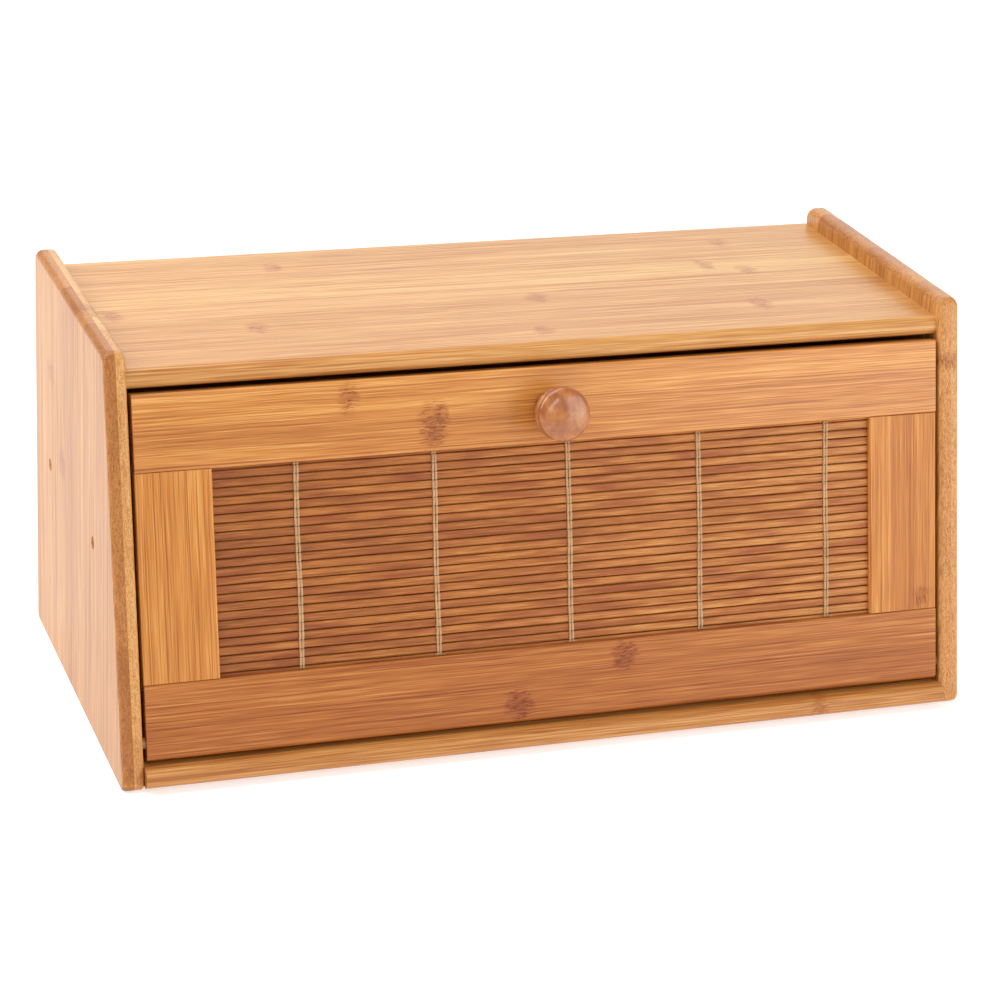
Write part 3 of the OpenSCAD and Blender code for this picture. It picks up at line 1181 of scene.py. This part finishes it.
@dataclass
class Door:
    """The leaning door: a frame of rails and stiles around a mat of slats, and a knob."""

    shop: Workshop
    lean: float
    pivot: Point2
    width: float = 379.0
    height: float = 160.516
    thick: float = 9.0
    rail: float = 34.0
    stile: float = 34.0
    edge: float = 1.0
    foot_edge: float = 2.0
    end_edge: float = 0.35
    shoulder_edge: float = 0.12
    pin_up: float = 7.5
    pin_r: float = 2.5
    pin_fit: float = 0.05
    pin_chamfer: float = 0.5
    pin_in_door: float = 20.0
    peg_r: float = 3.0
    peg_gap: float = 0.3
    peg_chamfer: float = 0.6
    peg_out: float = 8.0
    recess: float = 2.5
    groove: float = 4.0
    groove_t: float = 4.0
    backing_t: float = 2.0
    backing_edge: float = 0.2
    mat_play: float = 0.5
    knob_drop: float = 2.5
    screw: tuple[float, float, float] = (2.0, 4.0, 12.0)
    finishes: dict[str, Finish] = field(default_factory=dict)

    @property
    def place(self) -> Matrix:
        """Where the door's own axes lie in the frame."""
        hang = Matrix.Translation((0, self.pivot[0] * MM, self.pivot[1] * MM))
        tilt = Matrix.Rotation(-self.lean, 4, "X")
        return hang @ tilt @ Matrix.Translation((0, -self.thick / 2 * MM, -self.pin_up * MM))

    @property
    def opening(self) -> tuple[float, float]:
        """The width and the height of the frame's opening."""
        return self.width - 2 * self.stile, self.height - 2 * self.rail

    @property
    def knob_up(self) -> float:
        """How high up the door the knob sits."""
        return self.height - self.rail / 2 - self.knob_drop

    def peg_place(self) -> Point2:
        """Return the y and z of the pegs behind the closed door, in the frame."""
        depth = (self.thick + self.peg_gap + self.peg_r) * MM
        point = self.place @ Vector((0, depth, (self.height - self.rail / 2) * MM))
        return point.y / MM, point.z / MM

    def make(
        self, name: str, node: str, mesh: Mesh, slot: str, **more: Union[Sequence, float]
    ) -> bpy.types.Object:
        """Make a piece of the door, drawn in the door's own axes and dressed in its own finish."""
        finish = self.finishes[name]
        return self.shop.piece(name, node, mesh, finish, "door", slot, place=self.place, **more)

    def build(self) -> None:
        """Build and dress every piece of the door."""
        self._bottom_rail()
        self._top_rail()
        for side in (-1, 1):
            self._stile(side)
        self._backing()
        self._knob()
        self._screw()
        self.shop.dress_node("mat_back_threads", self.finishes["warps"], "mat_thread")
        Mat(self).build()

    def _bottom_rail(self) -> None:
        """Build the bottom rail, with the holes that it turns on."""
        t, w = self.thick, self.rail
        edges = (self.foot_edge, self.foot_edge, self.edge, self.edge)
        mesh = bar((0, 0), (t, w), edges, (-self.width / 2, self.width / 2), self.end_edge)
        cuts = [self._groove(w - self.groove, w + 1)]
        for side in (-1, 1):
            ends = span(side, self.width / 2 - self.pin_in_door - 1, self.width / 2 + 1)
            cuts.append(rod(ends, self.pin_r + self.pin_fit, (t / 2, self.pin_up)))
        self.make("rail_bottom", "door_bottom_rail", mesh, "door_bamboo", cuts=cuts)

    def _groove(self, low: float, high: float) -> Mesh:
        """Return the shape of the groove that runs along a rail between two heights."""
        x = self.width / 2 + 1
        return block((-x, self.recess, low), (x, self.recess + self.groove_t, high))

    def _top_rail(self) -> None:
        """Build the top rail, with the countersunk hole for the knob's screw."""
        t, low, high = self.thick, self.height - self.rail, self.height
        ends = (-self.width / 2, self.width / 2)
        mesh = bar((0, low), (t, high), [self.edge] * 4, ends, self.end_edge)
        cuts = [self._groove(low - 1, low + self.groove), self._screw_solid(OVERCUT)]
        self.make("rail_top", "door_top_rail", mesh, "door_bamboo", cuts=cuts)

    def _stile(self, side: int) -> None:
        """Build a stile with its stub tenons.

        Args:
            side: -1 on the left and 1 on the right.
        """
        inner = side * self.opening[0] / 2
        low, high = span(side, self.opening[0] / 2, self.width / 2)
        t, e, top = self.thick, self.edge, self.height - self.rail
        outline = rounded([(low, 0, e), (high, 0, e), (high, t, e), (low, t, e)], 6)
        mesh = prism(outline, (self.rail, top), self.shoulder_edge, Sweep.ALONG_Z)
        front, back = self.recess, self.recess + self.groove_t
        stub = (self.rail - self.groove, top + self.groove)
        tenon = block((low + e, front, stub[0]), (high - e, back, stub[1]))
        reach = sorted((inner - side, inner + side * self.groove))
        space = block((reach[0], front - 0.01, self.rail - 9), (reach[1], back + 0.01, top + 9))
        hand = HANDS[side]
        node = f"door_{hand}_stile"
        self.make(f"stile_{hand}", node, mesh, "door_bamboo", cuts=[space], joins=[tenon])

    def _backing(self) -> None:
        """Build the thin board behind the mat."""
        front = self.recess + self.groove_t - self.backing_t
        back = front + self.backing_t
        spare = self.groove - self.mat_play
        low, high = self.rail - spare, self.height - self.rail + spare
        x = self.opening[0] / 2 + spare
        e = self.backing_edge
        mesh = bar((front, low), (back, high), [e] * 4, (-x, x), e, 2)
        self.make("backing", "mat_backing", mesh, "back_bamboo")

    @property
    def _out(self) -> Matrix:
        """Turn a lathe's Z axis to point out of the door's face at the knob's place."""
        return Matrix.Translation((0, 0, self.knob_up * MM)) @ Matrix.Rotation(math.pi / 2, 4, "X")

    def _screw_solid(self, over: float) -> Mesh:
        """Shape the space that the screw fills.

        Args:
            over: How far the head's face is raised, or 0 for the screw itself.

        Returns:
            The closed mesh, in the door's axes.
        """
        shaft, head, inside = self.screw
        back = -self.thick
        rim = [(head, back - over), (head, back)] if over else [(head, back)]
        sides = [*rim, (shaft, back + head - shaft), (shaft, inside)]
        return moved(lathe([(0, back - over), *sides, (0, inside)], ROD_SIDES), self._out)

    def _knob(self) -> None:
        """Build the turned knob: a waisted neck, a ring, a groove and a domed head."""
        knob = Knob()
        mesh = moved(lathe(knob.profile(), knob.sides), self._out)
        bore = self._screw_solid(OVERCUT)
        self.make("turned_knob", "knob", mesh, "knob_wood", cuts=[bore], crease=50.0)

    def _screw(self) -> None:
        """Build the countersunk screw, with the cross in its head."""
        mesh = self._screw_solid(0.0)
        arms = []
        for turn in (0.0, math.pi / 2):
            top, floor = -self.thick - 1, -self.thick + 1.5
            outline = [(-0.45, top), (0.45, top), (0.25, floor), (-0.25, floor)]
            arm = prism(outline, (-2.1, 2.1), 0.0, Sweep.ALONG_X)
            arms.append(moved(arm, self._out @ Matrix.Rotation(turn, 4, "Z")))
        made = self.make("cross_screw", "knob_screw", mesh, "screw_steel", cuts=[arms[0]])
        self.shop.carve(made, arms[1])


@dataclass(frozen=True)
class Knob:
    """The knob's sizes."""

    radius: float = 12.0
    out: float = 20.0
    neck: float = 6.6
    foot: float = 8.4
    ring_at: float = 11.2
    groove_at: float = 13.6
    groove_depth: float = 1.0
    head_at: float = 16.0
    steps: int = 36
    sides: int = 128

    def profile(self) -> list[Point2]:
        """Draw the profile from the foot to the middle of the head.

        Returns:
            The points, as distances from the axis and from the foot.
        """
        points = [(0.0, 0.0), (self.foot - 0.3, 0.0), (self.foot, 0.25)]
        for i in range(1, self.steps + 1):
            a = i / self.steps
            waist = self.neck + (self.foot - self.neck) * (1 + math.cos(math.pi * a)) / 2
            flare = (self.radius - self.neck) * a**6
            points.append((waist + flare, 0.25 + (self.ring_at - 0.25) * a))
        points += arc((self.radius - 0.5, self.ring_at + 0.7), 0.5, 0, 90, 4)
        points += [(self.radius - self.groove_depth, self.groove_at - 0.35)]
        points += [(self.radius - self.groove_depth, self.groove_at + 0.1)]
        points += [(self.radius - 0.35, self.groove_at + 0.55), (self.radius, self.groove_at + 0.9)]
        dome = self.out - self.head_at
        for i in range(self.steps + 1):
            a = math.radians(90 * i / self.steps)
            points.append((self.radius * math.cos(a), self.head_at + dome * math.sin(a)))
        points[-1] = (0.0, self.out)
        return points


@dataclass
class Mat:
    """The mat: split slats one above the other, on warps of cotton."""

    door: Door
    pitch: float = 3.9
    gap: float = 0.5
    slat_t: float = 1.6
    front_round: float = 0.55
    rear_round: float = 0.1
    strand: Point2 = (0.56, 0.42)
    strand_off: float = 0.61
    strand_step: float = 0.22
    ring_sides: int = 10
    warp_pitch: float = 63.0
    warp_offset: float = 8.0
    warps: int = 5
    stations: int = 48
    wave_limits: tuple[Point2, ...] = ((0.01, 0.035), (60, 160), (0, 6.3))

    @property
    def warp_xs(self) -> list[float]:
        """The x of every warp."""
        first = self.warp_offset - (self.warps - 1) / 2 * self.warp_pitch
        return [first + i * self.warp_pitch for i in range(self.warps)]

    @property
    def first(self) -> float:
        """The height of the lowest slat's bottom edge."""
        return (self.door.height - self.count * self.pitch + self.gap) / 2

    @property
    def count(self) -> int:
        """How many whole slats the grooves hold."""
        room = self.door.opening[1] + 2 * (self.door.groove - self.door.mat_play)
        return int(room / self.pitch)

    def build(self) -> None:
        """Build the slats and the warps in front of them."""
        self._slats()
        self._threads()

    def _slats(self) -> None:
        """Build the slats, each a little uneven, with its own shade."""
        chance = random.Random(41)
        mesh = bmesh.new()
        shade = mesh.verts.layers.float.new("shade")
        seed = mesh.verts.layers.float.new("seed")
        half = self.door.opening[0] / 2 + self.door.groove - self.door.mat_play
        height = self.pitch - self.gap
        for i in range(self.count):
            low = self.first + i * self.pitch
            tone, number = 0.5 + chance.uniform(-0.07, 0.07), chance.random()
            waves = [[chance.uniform(*limits) for limits in self.wave_limits] for _ in range(3)]
            start = len(mesh.verts)
            rings = []
            for k in range(self.stations + 1):
                x = -half + 2 * half * k / self.stations
                rise = sum(size * math.sin(x / reach * TURN + turn) for size, reach, turn in waves)
                back = 0.03 + abs(waves[0][0] * math.sin(x / waves[2][1] * TURN + waves[1][2]))
                lean = waves[1][0] * math.sin(x / waves[1][1] * TURN)
                rings.append(self._section(low + rise, height + lean, back, x))
            loft(mesh, rings)
            mesh.verts.ensure_lookup_table()
            for vert in mesh.verts[start:]:
                vert[shade], vert[seed] = tone, number
        self.door.make("slats", "mat_slats", mesh, "slat_bamboo", crease=60.0)

    def _section(self, low: float, height: float, back: float, x: float) -> list[Vector]:
        """Draw a slat's section at one x: rounded in front and flat behind.

        Args:
            low: The height of the slat's lower edge.
            height: The slat's height.
            back: How far its front lies behind the recess.
            x: The section's x.

        Returns:
            The section's points in metres, in the door's axes.
        """
        front, rear = self.door.recess + back, self.door.recess + self.slat_t
        high = low + height
        r, b = self.front_round, self.rear_round
        corners = [(front, low, r), (rear, low, b), (rear, high, b), (front, high, r)]
        return [Sweep.ALONG_X.point(u, v, x) for u, v in rounded(corners, 3)]

    def _strand_ring(self, x: float, side: int, s: float, ends: Point2) -> list[Vector]:
        """Return a strand's flat section at a height: fuller on each slat, sunk in each gap.

        Args:
            x: The warp's x.
            side: Which of the warp's two strands, -1 or 1.
            s: The height up the door.
            ends: The lowest and highest point of the strand.

        Returns:
            The section's points in metres, in the door's axes.
        """
        turn = (s - self.first + self.gap / 2) / self.pitch
        over = min(1.0, abs(math.sin(math.pi * turn)) / 0.3) ** 0.7
        sink = 0.95 * (1 - over) + 0.3 * max(0.0, 1 - min(s - ends[0], ends[1] - s) / 0.8)
        wide, deep = self.strand[0] * (0.8 + 0.2 * over), self.strand[1]
        middle = Vector((x + side * self.strand_off, self.door.recess - deep + 0.04 + sink, s))
        turns = [2 * math.pi * k / self.ring_sides for k in range(self.ring_sides)]
        return [(middle + Vector((wide * math.cos(a), deep * math.sin(a), 0))) * MM for a in turns]

    def _threads(self) -> None:
        """Build the warps' flat strands over the slats, with frayed ends."""
        chance = random.Random(7)
        mesh = bmesh.new()
        ends = (self.door.rail + 0.1, self.door.height - self.door.rail - 0.1)
        steps = int((ends[1] - ends[0]) / self.strand_step)
        for x in self.warp_xs:
            drift = chance.uniform(0, 6.3)
            for side in (-1, 1):
                rings = []
                for k in range(steps + 1):
                    s = ends[0] + (ends[1] - ends[0]) * k / steps
                    sway = 0.18 * math.sin(s / 11 + drift) + 0.07 * math.sin(s / 2.9 + drift + side)
                    rings.append(self._strand_ring(x + sway, side, s, ends))
                loft(mesh, rings)
            self._fray(mesh, x, ends[0], 1, 9, chance)
            self._fray(mesh, x, ends[1], -1, 3, chance)
        self.door.make("warps", "mat_front_threads", mesh, "mat_thread", crease=180.0)

    def _fray(
        self, mesh: Mesh, x: float, s: float, up: int, count: int, chance: random.Random
    ) -> None:
        """Add loose curled fibres at a warp's end.

        Args:
            mesh: The mesh that they are added to.
            x: The warp's x.
            s: The height of the warp's end.
            up: 1 at the bottom end and -1 at the top end.
            count: How many fibres there are.
            chance: The source of the random numbers.
        """
        for _ in range(count):
            side = chance.choice((-1, 1))
            off = side * chance.uniform(0.2, 0.8)
            start = Vector((x + off, self.door.recess - 0.5, s + up * 0.3))
            out, curl = side * chance.uniform(0.4, 1.8), chance.uniform(0.5, 2.2)
            length, radius = chance.uniform(1.2, 2.6), chance.uniform(0.06, 0.11)
            path = []
            for k in range(13):
                t = k / 12
                forward = -min(1.9, length * 0.9 * t)
                sideways = out * t + 0.35 * side * math.sin(curl * 3 * t)
                rise = up * (0.5 * math.sin(2.4 * t) + 0.25 * math.sin(curl * 4 * t) * t)
                path.append((start + Vector((sideways, forward, rise))) * MM)
            tube(mesh, path, radius, 5, 0.5)


# ---- The studio ----


@dataclass(frozen=True)
class Softbox:
    """A soft lamp: where it hangs, what it points at, how large and how strong it is."""

    name: str
    at_m: tuple[float, float, float]
    to_m: tuple[float, float, float]
    size_m: Point2
    power: float
    roll: float = 0.0

    def hang(self) -> None:
        """Add the lamp to the scene."""
        data = bpy.data.lights.new(self.name, "AREA")
        data.shape = "RECTANGLE"
        data.size, data.size_y = self.size_m
        data.energy = self.power
        lamp = bpy.data.objects.new(self.name, data)
        bpy.context.scene.collection.objects.link(lamp)
        lamp.location = self.at_m
        lamp.rotation_mode = "QUATERNION"
        lamp.rotation_quaternion = (Vector(self.to_m) - Vector(self.at_m)).to_track_quat("-Z", "Y")
        lamp.rotation_quaternion @= Quaternion((0.0, 0.0, 1.0), math.radians(self.roll))
        lamp.visible_camera = False


@dataclass(frozen=True)
class Studio:
    """The white floor, the soft light and the camera."""

    azimuth: float = -19.911
    elevation: float = 22.043
    roll: float = 2.978
    target: tuple[float, float, float] = (0.0, 25.0, 101.0)
    slide: Point2 = (-6.731, 25.645)
    distance: float = 1470.633
    lens: float = 111.56
    sky: float = 0.45
    floor_reach_m: float = 6.0
    lamps: tuple[Softbox, ...] = (
        Softbox("top softbox", (-0.4, 0.3, 1.5), (0.0, 0.0, 0.1), (1.2, 1.2), 13.0),
        Softbox("left softbox", (-1.4, 0.05, 1.15), (0.0, 0.0, 0.1), (0.5, 1.1), 12.0),
        Softbox("back softbox", (0.7, 2.0, 1.05), (0.0, 0.0, 0.15), (2.2, 1.4), 11.0),
        Softbox("right softbox", (0.95, -1.0, 0.5), (0.15, 0.0, 0.1), (1.1, 1.0), 8.4),
        Softbox("strip light", (-0.14, -1.25, 0.73), (0.0, -0.09, 0.16), (0.2, 0.7), 2.2, -38.0),
    )

    def build(self, floor_finish: Finish) -> None:
        """Add the floor, the lamps, the sky and the camera.

        Args:
            floor_finish: The floor's finish.
        """
        self._floor(floor_finish)
        for lamp in self.lamps:
            lamp.hang()
        self._sky()
        self._camera()
        bpy.context.scene.view_settings.view_transform = "Standard"

    def _floor(self, finish: Finish) -> None:
        """Add the plain pale floor.

        Args:
            finish: The floor's finish.
        """
        mesh = bmesh.new()
        corners = ((-1, -1), (1, -1), (1, 1), (-1, 1))
        reach = self.floor_reach_m
        mesh.faces.new([mesh.verts.new((x * reach, y * reach, 0.0)) for x, y in corners])
        data = bpy.data.meshes.new("floor")
        mesh.to_mesh(data)
        mesh.free()
        data.materials.append(finish.material())
        floor = bpy.data.objects.new("floor", data)
        bpy.context.scene.collection.objects.link(floor)

    def _sky(self) -> None:
        """Light everything evenly from a white sky."""
        world = bpy.data.worlds.new("white sky")
        world.use_nodes = True
        glow = world.node_tree.nodes["Background"]
        glow.inputs["Color"].default_value = (1.0, 1.0, 1.0, 1.0)
        glow.inputs["Strength"].default_value = self.sky
        bpy.context.scene.world = world

    def _camera(self) -> None:
        """Stand the camera a little to the left of the box and above it."""
        a, e, r = (math.radians(angle) for angle in (self.azimuth, self.elevation, self.roll))
        forward = -Vector((math.sin(a) * math.cos(e), -math.cos(a) * math.cos(e), math.sin(e)))
        right = forward.cross(Vector((0, 0, 1))).normalized()
        up = right.cross(forward)
        right, up = math.cos(r) * right + math.sin(r) * up, math.cos(r) * up - math.sin(r) * right
        slide = self.slide[0] * right + self.slide[1] * up
        spot = Vector(self.target) - (slide + self.distance * forward)
        data = bpy.data.cameras.new("camera")
        data.lens, data.sensor_width = self.lens, 36.0
        data.clip_start, data.clip_end = 0.05, 50.0
        camera = bpy.data.objects.new("camera", data)
        turned = Matrix((right, up, -forward)).transposed().to_4x4()
        camera.matrix_world = Matrix.Translation(spot * MM) @ turned
        bpy.context.scene.collection.objects.link(camera)
        bpy.context.scene.camera = camera


# ---- Colours and strip plans ----


def tint(code: str) -> Colour:
    """Turn six hex digits into a linear colour.

    Args:
        code: Two digits each for red, green and blue.

    Returns:
        The colour, with numbers from 0 to 1.
    """
    parts = [int(code[i : i + 2], 16) / 255 for i in (0, 2, 4)]
    return tuple(
        part / 12.92 if part <= 0.04045 else ((part + 0.055) / 1.055) ** 2.4 for part in parts
    )


def shades(seed: int, count: int, light: float, spread: float, red: float) -> tuple[Point2, ...]:
    """Draw the shades of strips around a middle light and redness.

    Args:
        seed: The seed of the draws.
        count: How many strips there are.
        light: The middle light.
        spread: How far a strip's light may be from the middle one.
        red: The middle redness.

    Returns:
        The light and redness of each strip.
    """
    chance = random.Random(seed)
    return tuple(
        (light + chance.uniform(-spread, spread), max(0.0, red + chance.uniform(-0.2, 0.2)))
        for _ in range(count)
    )


def palette(*codes: str) -> Palette:
    """Return a palette from the hex codes of its deep, middle, pale and red colours."""
    return Palette(*(tint(code) for code in codes))


def case_finishes() -> dict[str, Finish]:
    """Gather the finishes of the case's pieces.

    Returns:
        The finishes by their short names.
    """
    pale = palette("a3602a", "ce964f", "ecc281", "c47e48")
    side = palette("95561f", "c98b49", "e9b774", "b8703c")
    top_marks = (
        Knuckle(-93, 75), Knuckle(-122, -7), Knuckle(134, 74), Knuckle(113, 42), Knuckle(-181, 20),
        Knuckle(131, 31), Knuckle(117, -17, depth=1.2), Knuckle(16, 10, depth=1.2), Knuckle(4, -34),
    )
    base_marks = (Knuckle(128, -96, 5, 9),)
    left_marks = (Knuckle(105, 35, 9, 10, 0.8), Knuckle(140, 60, 8, 10, 0.6))
    right_marks = (Knuckle(160, -59, 5, 6, 1.2),)
    top = Strips(-60.0, 17.5, shades(5, 9, 0.52, 0.08, 0.25))
    # The base board's strips are drawn darker than the top board's in the same palette: painted
    # shade on the low board under the door
    low = Strips(-101.0, 19.0, shades(8, 11, 0.28, 0.05, 0.1))
    left_front = ((0.4, 0.3), (0.44, 0.1), (0.42, 0.25))
    right_front = ((0.52, 0.1), (0.52, 0.1), (0.54, 0.05))
    left = Strips(-98.0, 17.0, (*left_front, *shades(3, 9, 0.48, 0.1, 0.15)))
    right = Strips(-98.0, 18.0, (*right_front, *shades(11, 8, 0.5, 0.1, 0.2)))
    back = Strips(0.0, 20.0, shades(14, 10, 0.5, 0.12, 0.25))
    across, up = Grain.ACROSS_THE_BOX, Grain.UP_THE_SIDE
    return {
        "top_board": Bamboo("top board bamboo", across, top, pale, top_marks),
        "base_board": Bamboo("base board bamboo", across, low, pale, base_marks),
        "left_panel": Bamboo(
            "left side bamboo", up, left, side, left_marks,
            ply_and_highlight=PlyAndHighlight(-195.7, light=0.2, red=-0.4), end_dark=-0.06, end_red=0.33,
        ),
        # Beyond x = 197 the right panel's strips are laid anew and drawn a little lighter: painted
        # highlight along its rounded outer edge
        "right_panel": Bamboo(
            "right side bamboo", up, right, side, right_marks, ply_and_highlight=PlyAndHighlight(197.0, light=0.05, red=0.0)
        ),
        "back_panel": Bamboo(
            "back panel bamboo", Grain.ACROSS_THE_DOOR, back, side, coat=0.1, roughness=0.55
        ),
        "dowel": DowelWood("dowel wood", tint("a06a38"), tint("d9ab70")),
    }


def door_finishes() -> dict[str, Finish]:
    """Gather the finishes of the door's pieces.

    Returns:
        The finishes by their short names.
    """
    warm = palette("8a460e", "cb8237", "efb868", "b9622b")
    ruddy = palette("7a370a", "b86f2c", "dfa155", "aa511f")
    split = palette("6f320a", "ae6627", "da9d57", "a85322")
    top_marks = (Knuckle(-94, 153, 6, 8), Knuckle(-55, 138, 8, 13, 1.4))
    low_marks = (Knuckle(-18, 8, 8, 9, 1.3), Knuckle(33, 26, 8, 9, 1.3))
    right_marks = (Knuckle(40, 182, 6, 6, 1.0),)
    top = Strips(128.3, 18.0, ((0.48, 0.15), (0.55, 0.05)))
    low = Strips(0.0, 17.0, ((0.46, 0.35), (0.5, 0.3)))
    left = Strips(-190.0, 11.5, ((0.52, 0.1), (0.5, 0.15), (0.53, 0.05)))
    right = Strips(155.0, 11.5, ((0.5, 0.1), (0.43, 0.4), (0.48, 0.25)))
    behind = Strips(0.0, 40.0, shades(2, 4, 0.45, 0.1, 0.3))
    across, up = Grain.ACROSS_THE_DOOR, Grain.UP_THE_DOOR
    return {
        "rail_top": Bamboo(
            "top rail bamboo", across, top, warm, top_marks, contrast=0.75, coat=0.6
        ),
        "rail_bottom": Bamboo("bottom rail bamboo", across, low, ruddy, low_marks, contrast=0.85),
        "stile_left": Bamboo("left stile bamboo", up, left, warm, contrast=0.65),
        "stile_right": Bamboo("right stile bamboo", up, right, warm, right_marks, contrast=0.65),
        "backing": Bamboo("backing bamboo", across, behind, warm, coat=0.05, roughness=0.6),
        "slats": SplitBamboo("split bamboo", split),
        "warps": Cotton("undyed cotton", tint("cfa578"), tint("8f6238")),
        "turned_knob": TurnedWood("turned knob wood", *map(tint, ("763a0e", "a75d21", "c8853f"))),
        "cross_screw": ZincSteel("zinc plated steel", tint("c9ccd0")),
    }


def main() -> None:
    """Build the box and its studio, and report each piece."""
    logging.basicConfig(level=logging.INFO, format="%(message)s")
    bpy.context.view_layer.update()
    shop = Workshop()
    case = Case(shop, finishes=case_finishes())
    joint = frame["joints"][0]["pos_m"]
    door = Door(shop, case.lean, (joint[1] / MM, joint[2] / MM), finishes=door_finishes())
    case.build(door)
    door.build()
    Studio().build(Worktop("pale worktop", (0.7, 0.7, 0.7), 0.55))


if __name__ == "__main__":
    main()
